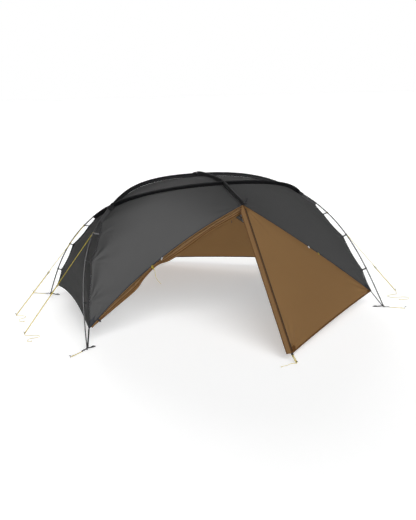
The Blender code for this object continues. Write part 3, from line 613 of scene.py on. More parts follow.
def creased(rows, seed, pulls, sway=0.0008, pucker=0.0006):
    """The cloth with broad slack, small puckers at its seams, and creases from pulled points."""
    normal = unit(np.cross(np.gradient(rows, axis=1), np.gradient(rows, axis=0)))
    over, down = lengths(rows)
    edge = np.minimum.reduce([over, over[:, -1:] - over, down, down[-1:] - down])
    chance = np.random.default_rng(seed)
    height = np.zeros(over.shape)
    for _ in range(10):
        turn, phase = chance.uniform(0, 2 * math.pi, 2)
        rate = 2 * math.pi / chance.uniform(0.45, 1.3)
        height += np.sin(rate * (over * math.cos(turn) + down * math.sin(turn)) + phase)
    height *= sway / 3
    ripple = np.zeros(over.shape)
    for _ in range(6):
        rate = 2 * math.pi / chance.uniform(0.024, 0.07)
        ripple += np.sin(rate * (over + down) + chance.uniform(0, 2 * math.pi))
    height += pucker * ripple / 2 * np.exp(-((edge / 0.02) ** 2))
    middle = rows[len(rows) // 2, rows.shape[1] // 2]
    face = unit(normal.mean(axis=(0, 1)))
    for place, aim, reach, half, waves, rise in pulls:
        way = unit((middle if aim is None else np.asarray(aim)) - place)
        off = rows - place
        far = np.linalg.norm(off, axis=2)
        turn = np.arctan2(off @ np.cross(face, way), off @ way)
        swell = (far / reach * np.exp(1 - far / reach)) ** 2
        phase = chance.uniform(0, 2 * math.pi, 2)
        fold = np.sin(waves * turn + phase[0] + 0.8 * np.sin(5 * turn + phase[1]))
        height += rise * swell * np.exp(-((turn / half) ** 2)) * fold
    hold = 1 - np.exp(-((edge / 0.012) ** 2))
    return rows + normal * (height * hold)[..., None]


def cloth_piece(name, rows, finish, thickness=0.0, patches=(), lining=None):
    """Cloth from a grid of points, its map in metres, facing away from the tent's middle."""
    count_down, count_over = rows.shape[:2]
    index = np.arange(count_down * count_over).reshape(count_down, count_over)
    quads = np.stack([index[:-1, :-1], index[:-1, 1:], index[1:, 1:], index[1:, :-1]], axis=2)
    quads = quads.reshape(-1, 4)
    points = rows.reshape(-1, 3)
    face = np.cross(points[quads[:, 2]] - points[quads[:, 0]], points[quads[:, 3]] - points[quads[:, 1]])
    if ((points[quads[:, 0]] - TENT_MIDDLE) * face).sum() < 0:
        quads = quads[:, ::-1]
    mesh = bpy.data.meshes.new(name)
    mesh.from_pydata(points.tolist(), [], quads.tolist())
    mesh.shade_smooth()
    over, down = lengths(rows)
    flat = np.stack([over.mean(axis=0)[None].repeat(count_down, 0), down.mean(axis=1)[:, None].repeat(count_over, 1)], axis=2)
    layer = mesh.uv_layers.new(name="cloth")
    layer.data.foreach_set("uv", flat.reshape(-1, 2)[quads.ravel()].ravel())
    away = np.ones(len(points))
    for place, radius in patches:
        away = np.minimum(away, np.linalg.norm(points - place, axis=1) - radius)
    mesh.attributes.new("patch", "FLOAT", "POINT").data.foreach_set("value", away)
    mesh.materials.append(finish)
    piece = bpy.data.objects.new(name, mesh)
    bpy.context.scene.collection.objects.link(piece)
    if thickness:
        wall = piece.modifiers.new("thickness", "SOLIDIFY")
        wall.thickness = thickness
        wall.offset = 0
        if lining:
            mesh.materials.append(lining)
            wall.material_offset = 1
    return piece


def cloth_finish(name, colour, shade, roughness, cell, through, coat):
    """Coated ripstop: a fine square grid, a faint mottle, and doubled patches at corners."""
    made, shader, add = new_finish(name, colour, roughness)
    place = add.node("ShaderNodeUVMap", {"uv_map": "cloth"})
    across = place.node("ShaderNodeSeparateXYZ", None, {0: place})

    def threads(value):
        return add.maths("ABSOLUTE", add.maths("FRACT", value / cell) - 0.5)

    nearest = add.maths("MAXIMUM", threads(across), threads(across.other("Y")))
    grid = add.node("ShaderNodeMapRange", None, {"Value": nearest, 1: 0.42, 2: 0.5})
    mottle = add.noise(place, 3.2, 5.0, 0.6)
    crumple = add.noise(place, 17.0, 6.0, 0.55)
    patch = add.node("ShaderNodeAttribute", {"attribute_name": "patch"}, output="Fac")
    doubled = add.maths("LESS_THAN", patch, 0.0)
    rim = add.maths("LESS_THAN", add.maths("ABSOLUTE", patch + 0.003), 0.0012)
    share = add.maths("MINIMUM", mottle * 0.22 + doubled * 0.55 + rim * 0.4 + grid * 0.08, 1.0)
    add.mixed(share, colour, shade).feed(shader, "Base Color")
    (crumple * 0.16 + (roughness - 0.08)).feed(shader, "Roughness")
    height = grid * 0.25 + crumple * 3.0 + doubled * 1.6 - rim * 1.2
    normal = add.bump(height, 0.0004, 0.5)
    normal.feed(shader, "Normal")
    shader.inputs["Coat Weight"].default_value = coat
    shader.inputs["Coat Roughness"].default_value = 0.38
    shader.inputs["Specular IOR Level"].default_value = CLOTH_GLOSS
    shine = add.node("ShaderNodeBsdfTranslucent", None, {"Color": colour, "Normal": normal})
    both = {"Fac": through, 1: Wire(add.tree, shader.outputs[0]), 2: shine}
    mix = add.node("ShaderNodeMixShader", None, both)
    mix.feed(made.node_tree.nodes["Material Output"], "Surface")
    return made


GREY_CLOTH = cloth_finish("canopy_ripstop", CANOPY_GREY, CANOPY_DARK, 0.56, RIPSTOP, CLOTH_THROUGH, 0.02)
COATED_SIDE = cloth_finish("canopy_coating", COATING_SILVER, COATING_DULL, 0.5, RIPSTOP, 0.0, 0.02)


def leg_pulls(x):
    """Creases of a front panel: fans from its tabs, its corner, the crossing and the peak."""
    pulls = []
    for knot, reach, rise in ((1, 0.05, 0.0014), (2, 0.07, 0.0034), (3, 0.08, 0.0036)):
        place = flip(LEG_SEAM[LEG_KNOTS[knot]], x=x, y=-1)
        pulls.append((place, None, reach, 0.8, 11.0, rise))
    pulls.append((flip(CORNER, x=x, y=-1), None, 0.09, 0.6, 17.0, 0.0022))
    pulls.append((flip(APEX, x=x), None, 0.08, 0.5, 13.0, 0.0012))
    pulls.append((PEAK, None, 0.10, 0.5, 13.0, 0.0012))
    return pulls


PANELS = {}
for y_name, y in ENDS.items():
    for x_name, x in SIDES.items():
        open_side = (x_name, y_name) == ("left", "front")
        rows = coons(
            flip(RIDGE_SEAM[RIDGE_PARTS:], x=x),
            porch_seam(x, OPEN_SEAM_BOW if open_side else SIDE_SEAM_BOW),
            GUSSET_SEAM,
            flip(TAUT_LEG, x=x, y=-1),
        )
        over, _ = lengths(rows)
        rows = hollowed(rows, flip(LEG_HOLLOW, x=x, y=-1), over[:, -1:] - over)
        rows = creased(inset(rows), 11 + 3 * x + 7 * y, leg_pulls(x))
        patches = [(flip(CORNER, x=x, y=y), CORNER_PATCH), (flip(PEAK, y=-y), 0.045)]
        for knot in (1, 2, 3):
            patches.append((flip(LEG_SEAM[LEG_KNOTS[knot]], x=x, y=y), TAB_PATCH))
        name = f"panel_{y_name}_{x_name}"
        PANELS[y_name, x_name] = flip(rows, y=-y)
        panel = PANELS[y_name, x_name]
        cloth = cloth_piece(name + "_cloth", panel, GREY_CLOTH, CANOPY_WALL, patches, COATED_SIDE)
        dressed(cloth, "canopy_grey", name)

end_share = np.linspace(0, 1, END_PARTS + 1)[:, None]
hem_arch = 1 - np.abs(2 * end_share - 1) ** 2
END_HEM = flip(CORNER, y=-1) + end_share * (0, 2 * CORNER[1], 0)
END_HEM = END_HEM + hem_arch * (-END_HEM_IN, 0, END_HEM_RISE)
END_PANELS = {}
for x_name, x in SIDES.items():
    side, hollow_edge = TAUT_LEG[1:], LEG_HOLLOW[1:]
    top = flip(side[0], y=-1) + end_share * (0, 2 * side[0][1], 0)
    pulls = []
    for y in ENDS.values():
        for knot, reach, rise in ((2, 0.05, 0.0012), (3, 0.06, 0.0014), (4, 0.10, 0.0016)):
            pulls.append((flip(LEG_SEAM[LEG_KNOTS[knot]], y=y), None, reach, 0.6, 13.0, rise))
    rows = coons(top, END_HEM, flip(side, y=-1), side)
    over, _ = lengths(rows)
    rows = hollowed(rows, hollow_edge, over[:, -1:] - over)
    rows = creased(inset(hollowed(rows, flip(hollow_edge, y=-1), over)), 40 + x, pulls)
    patches = [(flip(CORNER, x=x, y=y), CORNER_PATCH * 0.8) for y in ENDS.values()]
    name = f"end_panel_{x_name}"
    END_PANELS[x_name] = flip(rows, x=x)
    cloth = cloth_piece(name + "_cloth", END_PANELS[x_name], GREY_CLOTH, CANOPY_WALL, patches, COATED_SIDE)
    dressed(cloth, "canopy_grey", name)
    "leg_edging_front_" + x_name

front = RIDGE_SEAM[1:-1]
rows = []
for share in np.linspace(0, 1, ROOF_PARTS + 1):
    row = front * (1, 1 - 2 * share, 1)
    row[:, 2] += CREST_RISE * 4 * share * (1 - share) * np.exp(-((row[:, 0] / CREST_SPREAD) ** 2))
    rows.append(row)
pulls = [(flip(APEX, x=x), None, 0.10, 0.4, 15.0, 0.0012) for x in SIDES.values()]
rows = creased(inset(np.array(rows)), 61, pulls)
cloth = cloth_piece("roof_panel_cloth", rows, GREY_CLOTH, CANOPY_WALL, (), COATED_SIDE)
dressed(cloth, "canopy_grey", "roof_panel")

# Pole sleeves. Strips of pack cloth are folded over the poles and sewn down into the seams: black
# along both ridges, black and grey down each leg as far as the first gap, and grey along the
# ridge pole, where a black strip down one side is a painted shadow of the pole.
SLEEVE_BLACK = (0.010, 0.010, 0.011, 1)
SLEEVE_SHADE = (0.006, 0.006, 0.007, 1)
SLEEVE_RADIUS = POLE_DIAMETER / 2 + 0.0013
SLEEVE_LEG = 0.0011
SLEEVE_NECK = 1.75
SLEEVE_TUCK = 0.001
SLEEVE_CLOTH = 0.0006
SLEEVE_CLEAR = 0.02
SLEEVE_FLAT = {"ridge": (0.090, 1.84), "middle": (0.088, 0.56), "porch": (0.120, 0.38), "leg": (0.11, 0.14)}
BLACK_CLOTH = cloth_finish("sleeve_pack_cloth", SLEEVE_BLACK, SLEEVE_SHADE, 0.62, 0.0011, 0.0, 0.05)
SLEEVE_GREY = cloth_finish("sleeve_grey_cloth", (0.052, 0.052, 0.053, 1), (0.034, 0.034, 0.035, 1), 0.6, 0.0011, 0.0, 0.02)
# SHADE_LINE gives the black columns of the grey ridge-pole sleeves: a painted shadow of the pole.
SHADE_LINE = {"front": (7, 10), "back": (12, 15)}


def sleeve(name, pole, seam, seed, flat, *nodes, black=(0, 22)):
    """A strip from the seam up over the pole and back down, black from one column to another and grey elsewhere; on
    the ridge pole the black columns are a painted shadow of the pole.
    """
    ways = unit(np.gradient(pole, axis=0))
    chance = np.random.default_rng(seed)
    run = run_of(pole)
    waves = sum(np.sin(run * 2 * math.pi / chance.uniform(0.03, 0.16) + chance.uniform(0, 6)) for _ in range(5)) / 5
    rows = []
    for point, foot, way, wave in zip(pole, seam, ways, waves):
        up = point - foot
        up = unit(up - (up @ way) * way)
        across = np.cross(way, up)
        drop = (point - foot) @ up - SLEEVE_TUCK
        turns = np.radians(np.linspace(-142, 142, 15))
        radius = SLEEVE_RADIUS * (1 + 0.07 * wave)
        arch = [(radius * math.sin(turn), radius * math.cos(turn)) for turn in turns]
        neck = -SLEEVE_RADIUS * SLEEVE_NECK
        shift = 0.0007 * wave
        fin = [(SLEEVE_LEG + shift * math.sin(math.pi * s), neck + s * (-drop - neck)) for s in (0, 0.3, 0.6, 1)]
        back = [(-SLEEVE_LEG + shift * math.sin(math.pi * s), neck + s * (-drop - neck)) for s in (1, 0.6, 0.3, 0)]
        rows.append([point + across * b + up * n for b, n in [*back, *arch, *fin]])
    piece = cloth_piece(name, np.array(rows), BLACK_CLOTH, thickness=SLEEVE_CLOTH)
    piece.data.materials.append(SLEEVE_GREY)
    columns = len(rows[0]) - 1
    for face in piece.data.polygons:
        face.material_index = int(not black[0] <= face.index % columns < black[1])
    dressed(piece, "sleeve_cloth", *nodes)


ridge_shares = np.linspace(CROSS_SHARE, 1 - CROSS_SHARE, 2 * RIDGE_PARTS + 1)
for y_name, y, curve in (("front", 1, FRONT_POLE_CURVE), ("back", -1, BACK_POLE_CURVE)):
    pole = along(curve, ridge_shares)
    seam = flip(RIDGE_SEAM, y=y)
    name = f"ridge_sleeve_{y_name}"
    sleeve(name + "_cloth", pole[3:-3], seam[3:-3], 70 + y, SLEEVE_FLAT["ridge"], name)

ridge_line = along(RIDGE_POLE_CURVE, np.linspace(0, 1, 241))
over_roof = ridge_line[np.abs(ridge_line[:, 1]) < RIDGE_Y - SLEEVE_CLEAR]
share = (over_roof[:, 1] / RIDGE_MIDDLE[1] + 1) / 2
crest = np.stack([over_roof[:, 0], over_roof[:, 1], RIDGE_MIDDLE[2] + CREST_RISE * 4 * share * (1 - share)], axis=1)
name = "ridge_pole_sleeve_middle"
sleeve(name + "_cloth", over_roof, crest, 81, SLEEVE_FLAT["middle"], name, black=SHADE_LINE["back"])
porch = ridge_line[(ridge_line[:, 1] > RIDGE_Y + SLEEVE_CLEAR) & (ridge_line[:, 1] < 0.700)]
share = (porch[:, 1] + RIDGE_MIDDLE[1]) / (RIDGE_MIDDLE[1] - PEAK[1])
foot = flip(RIDGE_MIDDLE, y=-1) + share[:, None] * flip(PEAK - RIDGE_MIDDLE, y=-1)
for y_name, y in ENDS.items():
    name = f"ridge_pole_sleeve_{y_name}"
    lines = flip(porch, y=y), flip(foot, y=y)
    sleeve(name + "_cloth", *lines, 83 + y, SLEEVE_FLAT["porch"], name, black=SHADE_LINE[y_name])


def pole_leg(y):
    """The leg at the back or the front, turned to the right back corner, foot first."""
    curve = FRONT_POLE_CURVE if y > 0 else flip(BACK_POLE_CURVE, y=-1)
    leg = flip(curve[: len(curve) // 2], x=-1)
    return leg[leg[:, 2] < CROSSING[2]]


def leg_point(leg, height):
    """A leg's centre at a height."""
    height = np.asarray(height, float)
    return np.stack([np.interp(height, leg[:, 2], leg[:, axis]) for axis in range(3)], axis=-1)


LEG_SLEEVE_TOP = 0.888
for y_name, y in ENDS.items():
    leg = pole_leg(y)
    for x_name, x in SIDES.items():
        pole = leg_point(leg, np.linspace(LEG_SLEEVE_TOP, SLEEVE_END[1], 24))
        seam = along(LEG_SEAM[: LEG_KNOTS[0] + 1], np.linspace(0.10, 1, 24))
        lines = flip(pole, x=x, y=y), flip(seam, x=x, y=y)
        end_side = (0, 11) if x != y else (11, 22)
        sleeve(f"leg_sleeve_{y_name}_{x_name}", *lines, 90 + x + 3 * y, SLEEVE_FLAT["leg"], black=end_side)

# Leg edging. Each side edge of the canopy is bound with nylon tape. Three short straps reach
# from it to each leg, and end in moulded clips that snap round the pole.
WEB_BLACK = (0.016, 0.016, 0.017, 1)
# WEB_GREY is the second colour of both webbings: rubbed wear, and a painted glint on the ribs.
WEB_GREY = (0.042, 0.042, 0.045, 1)
WEB_PALE = (0.20, 0.20, 0.205, 1)
WEB_GLOSS = 0.12
EDGING_WIDTH, EDGING_WALL = 0.0075, 0.0018
TAB_WIDTH, TAB_WALL = 0.012, 0.0014
CLIP_WALL = 0.0018
CLIP_RADIUS = POLE_DIAMETER / 2 + 0.0006 + CLIP_WALL / 2
CLIP_LENGTH = 0.012
RIB_PITCH = 0.0012


def webbing_finish(name, colour, shade, roughness):
    """Ribbed narrow weave: ribs across, a herringbone glint painted into the colour, and a paler rubbed surface."""
    made, shader, add = new_finish(name, colour, roughness)
    place = add.node("ShaderNodeUVMap", {"uv_map": "cloth"})
    across = place.node("ShaderNodeSeparateXYZ", None, {0: place})
    rib = add.maths("SINE", across.other("Y") * (2 * math.pi / RIB_PITCH) + across * 900.0)
    fuzz = add.noise(place, 260.0, 4.0, 0.6)
    # The rib term is a painted glint in the colour; the fuzz term is rubbed wear.
    share = add.maths("MINIMUM", fuzz * 0.6 + rib * 0.2 + 0.1, 1.0)
    add.mixed(share, colour, shade).feed(shader, "Base Color")
    add.bump(rib + fuzz, 0.00025, 0.6).feed(shader, "Normal")
    shader.inputs["Specular IOR Level"].default_value = WEB_GLOSS
    return made


def mesh_piece(name, work, finish):
    """A piece from finished mesh work, smooth and facing out."""
    bmesh.ops.recalc_face_normals(work, faces=work.faces)
    mesh = bpy.data.meshes.new(name)
    work.to_mesh(mesh)
    work.free()
    mesh.shade_smooth()
    mesh.materials.append(finish)
    piece = bpy.data.objects.new(name, mesh)
    bpy.context.scene.collection.objects.link(piece)
    return piece


def turned(name, spots, profile, finish, sides=20):
    """Round bits: a profile of (far, out) spun about the way that each spot points."""
    work = bmesh.new()
    turns = np.linspace(0, 2 * math.pi, sides, endpoint=False)[:, None]
    for place, way in spots:
        way = unit(way)
        side = unit(np.cross(way, (0.3, 0.5, 0.8)))
        round_it = side * np.cos(turns) + np.cross(way, side) * np.sin(turns)
        rings = []
        for far, out in profile:
            rings.append([work.verts.new(place + way * far + out * r) for r in round_it])
        for first, second in zip(rings, rings[1:]):
            for i in range(sides):
                j = (i + 1) % sides
                work.faces.new((first[i], first[j], second[j], second[i]))
        work.faces.new(rings[0][::-1])
        work.faces.new(rings[-1])
    return mesh_piece(name, work, finish)


def band(name, paths, sides, width, wall, finish):
    """Flat tape along one or more paths, whose width runs along sides, with rounded edges."""
    profile = ((-1, -0.35), (-0.9, -1), (0.9, -1), (1, -0.35), (1, 0.35), (0.9, 1), (-0.9, 1), (-1, 0.35))
    work = bmesh.new()
    layer = work.loops.layers.uv.new("cloth")
    for path, side in zip(paths, sides):
        path = np.asarray(path, float)
        way = unit(np.gradient(path, axis=0))
        side = np.broadcast_to(np.asarray(side, float), path.shape)
        side = unit(side - (side * way).sum(axis=1)[:, None] * way)
        face = np.cross(way, side)
        run = run_of(path)
        widths = np.broadcast_to(width, len(path))
        rings = []
        for point, a, b, w in zip(path, side, face, widths):
            rings.append([work.verts.new(point + a * p * w / 2 + b * q * wall / 2) for p, q in profile])
        for i in range(len(rings) - 1):
            for j in range(len(profile)):
                k = (j + 1) % len(profile)
                made = work.faces.new((rings[i][j], rings[i][k], rings[i + 1][k], rings[i + 1][j]))
                spots = ((profile[j][0], run[i]), (profile[k][0], run[i]), (profile[k][0], run[i + 1]), (profile[j][0], run[i + 1]))
                for loop, (u, v) in zip(made.loops, spots):
                    loop[layer].uv = (u * widths[i] / 2, v)
        work.faces.new(rings[0][::-1])
        work.faces.new(rings[-1])
    return mesh_piece(name, work, finish)


def plastic_finish(name, colour, roughness):
    """Moulded plastic: a fine matt grain and slightly duller touched areas."""
    made, shader, add = new_finish(name, colour, roughness)
    place = add.node("ShaderNodeTexCoord", output="Object")
    grain = add.noise(place, 900.0, 2.0)
    dull = add.noise(place, 35.0, 3.0)
    (dull * 0.25 + (roughness - 0.12)).feed(shader, "Roughness")
    add.bump(grain, 0.00008, 0.5).feed(shader, "Normal")
    return made


WEBBING = webbing_finish("webbing_nylon", WEB_BLACK, WEB_GREY, 0.72)
PALE_WEBBING = webbing_finish("webbing_grey", WEB_PALE, WEB_GREY, 0.72)
CLIP_PLASTIC = plastic_finish("clip_moulded", (0.030, 0.030, 0.032, 1), 0.42)


def clip_rows(hold, way, inward):
    """An open ring round the pole, its gap away from the strap."""
    across = np.cross(way, inward)
    turns = np.radians(np.linspace(-140, 140, 19))
    rows = []
    for end in np.linspace(-1, 1, 5):
        swell = 1 + 0.10 * (1 - end**2)
        ring = [hold + end * CLIP_LENGTH / 2 * way + CLIP_RADIUS * swell * (math.cos(t) * inward + math.sin(t) * across) for t in turns]
        rows.append(ring)
    return np.array(rows)


for y_name, y in ENDS.items():
    leg = pole_leg(y)
    for x_name, x in SIDES.items():
        edge = LEG_SEAM[LEG_KNOTS[0] :]
        way = unit(leg_point(leg, edge[:, 2] + 0.012) - edge)
        path = flip(edge + way * 0.0042, x=x, y=y)
        name = f"leg_edging_{y_name}_{x_name}"
        tape = band(name + "_tape", [path], [flip(way, x=x, y=y)], EDGING_WIDTH, EDGING_WALL, WEBBING)
        dressed(tape, "webbing", name)
        straps, sides, clips = [], [], []
        for knot, (_, height) in zip((1, 2, 3), TABS):
            seam_point = LEG_SEAM[LEG_KNOTS[knot]]
            hold = leg_point(leg, height)
            down = unit(leg_point(leg, height - 0.01) - hold)
            inward = seam_point - hold
            inward = unit(inward - (inward @ down) * down)
            reach = unit(hold - seam_point)
            share = np.linspace(0, 1, 9)[:, None]
            start = seam_point - reach * 0.012
            end = hold - reach * (CLIP_RADIUS - 0.0004)
            strap = start + share * (end - start) + np.array((0, 0, -0.002)) * 4 * share * (1 - share)
            straps.append(flip(strap, x=x, y=y))
            sides.append(flip(unit(LEG_SEAM[LEG_KNOTS[knot] + 2] - LEG_SEAM[LEG_KNOTS[knot] - 2]), x=x, y=y))
            clips.append(flip(clip_rows(hold, down, inward), x=x, y=y))
        dressed(band(name + "_top_strap", straps[:1], sides[:1], TAB_WIDTH, TAB_WALL, PALE_WEBBING), "webbing")
        dressed(band(name + "_straps", straps[1:], sides[1:], TAB_WIDTH, TAB_WALL, WEBBING), "webbing")
        for number, rows in enumerate(clips):
            clip = cloth_piece(f"{name}_clip_{number + 1}", rows, CLIP_PLASTIC, thickness=CLIP_WALL)
            dressed(clip, "webbing")

# Porch doors. Brown ripstop triangles close the porches between the porch seams and a zip that
# runs from the peak to a stake. Three are shut. Each has a bound hem and doubled corners, and a
# storm flap lies over the zip.
DOOR_BROWN = (0.290, 0.166, 0.070, 1)
DOOR_SHADE = (0.165, 0.086, 0.030, 1)
DOOR_THROUGH = 0.38
HEM_BROWN = (0.080, 0.030, 0.004, 1)
# The binding's second colour carries its rubbed wear and a painted herringbone glint.
HEM_WEAR_AND_GLINT = (0.120, 0.052, 0.010, 1)
DOOR_TOP = 0.15
DOOR_PARTS = 190
HEM_ARCH = 0.012
FLAP_WIDTH, FLAP_OFFSET = 0.038, 0.0014
BROWN_CLOTH = cloth_finish("door_ripstop", DOOR_BROWN, DOOR_SHADE, 0.56, RIPSTOP, DOOR_THROUGH, 0.02)
HEM_CLOTH = webbing_finish("door_binding", HEM_BROWN, HEM_WEAR_AND_GLINT, 0.65)
SEAM_TAPE = webbing_finish("seam_binding", (0.014, 0.016, 0.020, 1), (0.030, 0.034, 0.042, 1), 0.6)


def door_seams(x):
    """A closed front door's top, hem, porch seam and zip line."""
    seam = porch_seam(x, SIDE_SEAM_BOW)
    share = (run_of(seam) / run_of(seam)[-1])[:, None]
    zip_line = PEAK + share * (LOW_POINT - PEAK)
    for edge in (seam, zip_line):
        edge[0] += DOOR_TOP * (edge[1] - edge[0])
    over = np.linspace(0, 1, DOOR_PARTS + 1)[:, None]
    hem = seam[-1] + over * (zip_line[-1] - seam[-1]) + np.array((0, 0, HEM_ARCH)) * 4 * over * (1 - over)
    return seam[0] + over * (zip_line[0] - seam[0]), hem, seam, zip_line


DOORS = {}
for y_name, x_name in (("front", "right"), ("back", "left"), ("back", "right")):
    x, y = SIDES[x_name], ENDS[y_name]
    top, hem, seam, zip_line = door_seams(x)
    corner = flip(CORNER, x=x, y=-1)
    pulls = [
        (LOW_POINT, None, 0.10, 0.60, 24.0, 0.0085),
        (corner, None, 0.09, 0.45, 22.0, 0.0060),
        (PEAK, None, 0.16, 0.35, 15.0, 0.0020),
    ]
    rows = inset(coons(top, hem, seam, zip_line))
    rows = creased(rows, 101 + x + 5 * y, pulls, sway=0.0018, pucker=0.0010)
    DOORS[y_name, x_name] = flip(rows, y=-y)
    patches = [(LOW_POINT, 0.085), (corner, 0.07), (PEAK, 0.07)]
    patches = [(flip(place, y=-y), radius) for place, radius in patches]
    name = f"door_{y_name}_{x_name}"
    cloth = cloth_piece(name + "_cloth", DOORS[y_name, x_name], BROWN_CLOTH, patches=patches)
    dressed(cloth, "door_brown", name)
    beside = [f"panel_{y_name}_{x_name}_cloth"]

# Storm flaps. A doubled strip of the door cloth, bound in dark tape, lies over each zip and is
# sewn along one edge only, so that its free edge lifts here and there.
for y_name, y in ENDS.items():
    down = unit(LOW_POINT - PEAK)
    outward = np.array((0, down[2], -down[1]))
    shares = np.linspace(0.006, 0.998, 160)
    chance = np.random.default_rng(7 + y)
    turns = [shares * chance.uniform(12, 60) + chance.uniform(0, 6) for _ in range(5)]
    rows = []
    for share, curl in zip(shares, np.sin(turns).mean(axis=0)):
        point = PEAK + share * (LOW_POINT - PEAK) + FLAP_OFFSET * outward
        width = FLAP_WIDTH * min(1, 0.35 + share * 12)
        row = []
        for step in np.linspace(0, 1, 13):
            bulge = 0.0022 * math.sin(math.pi * step) + 0.0016 * curl * step**2
            row.append(point + (0.003 - (width + 0.003) * step, 0, 0) + outward * bulge)
        rows.append(row)
    rows = flip(np.array(rows), x=-y, y=-y)
    name = f"storm_flap_{y_name}"
    flap = cloth_piece(name + "_cloth", rows, BROWN_CLOTH, thickness=0.0006)
    dressed(flap, "door_brown", name)
    beside = [f"door_{y_name}_right_cloth"]
    edges = [rows[:, 1] + flip(outward, y=-y) * 0.0012, rows[:, -1]]
    side = np.array((1.0, 0, 0))
    binding = band(name + "_binding", edges, [side, side], 0.0075, 0.0022, HEM_CLOTH)
    dressed(binding, "door_brown")

# Rolled door. The front left door is the same triangle, rolled up from its zip edge to the
# porch seam. It hangs there in flattened turns and is drawn in by a tie part of the way down.
ROLL_RADIUS, ROLL_NECK = 0.026, 0.010
ROLL_ENDS = (0.004, 0.985)
ROLL_TIE_AT = 0.56
ROLL_FULLNESS = (
    (0.0, 0.80),
    (0.05, 0.97),
    (0.20, 1.0),
    (0.36, 1.06),
    (0.50, 0.66),
    (0.56, 0.41),
    (0.60, 0.50),
    (0.65, 0.72),
    (0.71, 0.96),
    (0.80, 0.80),
    (0.97, 0.26),
)
ROLL_FOLDS = ((-0.62, 0.20, 0.20, 0), (-1.38, 0.46, 0.27, 1), (-2.15, 0.42, 0.23, 2), (1.3, 0.3, 0.3, 0))
ROLL_DRIFT = 0.16
ROLL_TAPES = ((1, 0.0080), (2, 0.0065))
ROLL_STRAP_AT, ROLL_STRAP_WIDTH = 0.935, 0.012
ROLL_HANG = np.array((0, -0.25, -1.0))
ROLL_PARTS = 220
ROLL_TURNS = 6.4
ROLL_CORE = 0.30
ROLL_STEPS = 26


def roll_frame(shares):
    """Points of the open seam, the way down it, the way that a roll hangs, and across."""
    seam = porch_seam(-1, OPEN_SEAM_BOW)
    centre = along(seam, shares)
    ways = unit(np.gradient(centre, axis=0))
    hang = unit(ROLL_HANG - ways * (ways @ ROLL_HANG)[:, None])
    return centre, ways, hang, np.cross(ways, hang)


def roll_size(shares):
    """How full the roll is: thin at both ends and where the tie draws it in."""
    curve = smooth([(share, full, 0) for share, full in ROLL_FULLNESS])
    return np.interp(shares, curve[:, 0], curve[:, 1])


roll_shares = np.linspace(*ROLL_ENDS, ROLL_PARTS + 1)
chance = np.random.default_rng(23)
wander = [sum(a * np.sin(roll_shares * f + p) for a, f, p in zip(chance.uniform(0.2, 0.5, 4), chance.uniform(4, 28, 4), chance.uniform(0, 6, 4))) for _ in range(3)]
rows, tapes = [], [[] for _ in ROLL_TAPES]
for i, (point, way, hang, across) in enumerate(zip(*roll_frame(roll_shares))):
    full = roll_size(roll_shares[i])
    neck, radius = ROLL_NECK * full, ROLL_RADIUS * full
    middle = point + hang * (neck + radius)
    row = [point + hang * (0.0008 + (neck - 0.0008) * step) for step in (0, 0.5)]
    turns = np.linspace(0, 2 * math.pi * ROLL_TURNS, round(ROLL_STEPS * ROLL_TURNS))
    for turn in turns:
        pull = 1 - (1 - ROLL_CORE) * turn / turns[-1]
        folds = 0.0
        for aim, depth, narrow, drift in ROLL_FOLDS:
            off = (turn - aim - ROLL_DRIFT * wander[drift][i] + math.pi) % (2 * math.pi) - math.pi
            folds += depth * math.exp(-((off / narrow) ** 2))
        away = radius * pull * (1 - folds) * (1 + 0.05 * wander[0][i] * math.sin(2 * turn))
        row.append(middle - away * (math.cos(turn) * hang + math.sin(turn) * across))
    rows.append(row)
    for tape, (fold, _) in zip(tapes, ROLL_TAPES):
        aim, depth, _, drift = ROLL_FOLDS[fold]
        turn = aim + ROLL_DRIFT * wander[drift][i]
        away = radius * (1 - 0.7 * depth)
        tape.append(middle - away * (math.cos(turn) * hang + math.sin(turn) * across))
roll = cloth_piece("door_front_left_roll", np.array(rows), BROWN_CLOTH)
dressed(roll, "door_brown", "door_front_left_rolled")
_, ways, hang, across = roll_frame(roll_shares)
for number, (tape, (fold, width)) in enumerate(zip(tapes, ROLL_TAPES)):
    turn = ROLL_FOLDS[fold][0]
    side = math.sin(turn) * hang - math.cos(turn) * across
    tape = band(f"rolled_hem_{number + 1}", [np.array(tape)[6:-8]], [side[6:-8]], width, 0.0014, HEM_CLOTH)
    dressed(tape, "door_brown")

centre, ways, hang, across = roll_frame(np.array((ROLL_STRAP_AT - 0.01, ROLL_STRAP_AT, ROLL_STRAP_AT + 0.01)))
full = roll_size(ROLL_STRAP_AT)
middle = centre[1] + hang[1] * (ROLL_NECK + ROLL_RADIUS) * full
turns = np.linspace(-0.1, 2 * math.pi, 40)[:, None]
tall, wide = (ROLL_RADIUS + ROLL_NECK) * full + 0.004, ROLL_RADIUS * full + 0.003
strap = middle + hang[1] * np.cos(turns) * tall + across[1] * np.sin(turns) * wide
dressed(band("roll_corner_strap", [strap], [ways[1]], ROLL_STRAP_WIDTH, 0.0014, SEAM_TAPE), "webbing")

# Crossing caps. A black patch is stretched over each place where the poles cross, on top of the
# ends of the sleeves, and sewn to the canopy round its edge.
CAP_RADIUS = 0.040
CAP_RISE = SLEEVE_DROP + SLEEVE_RADIUS + 0.0012
CAP_SPREAD = 0.0125

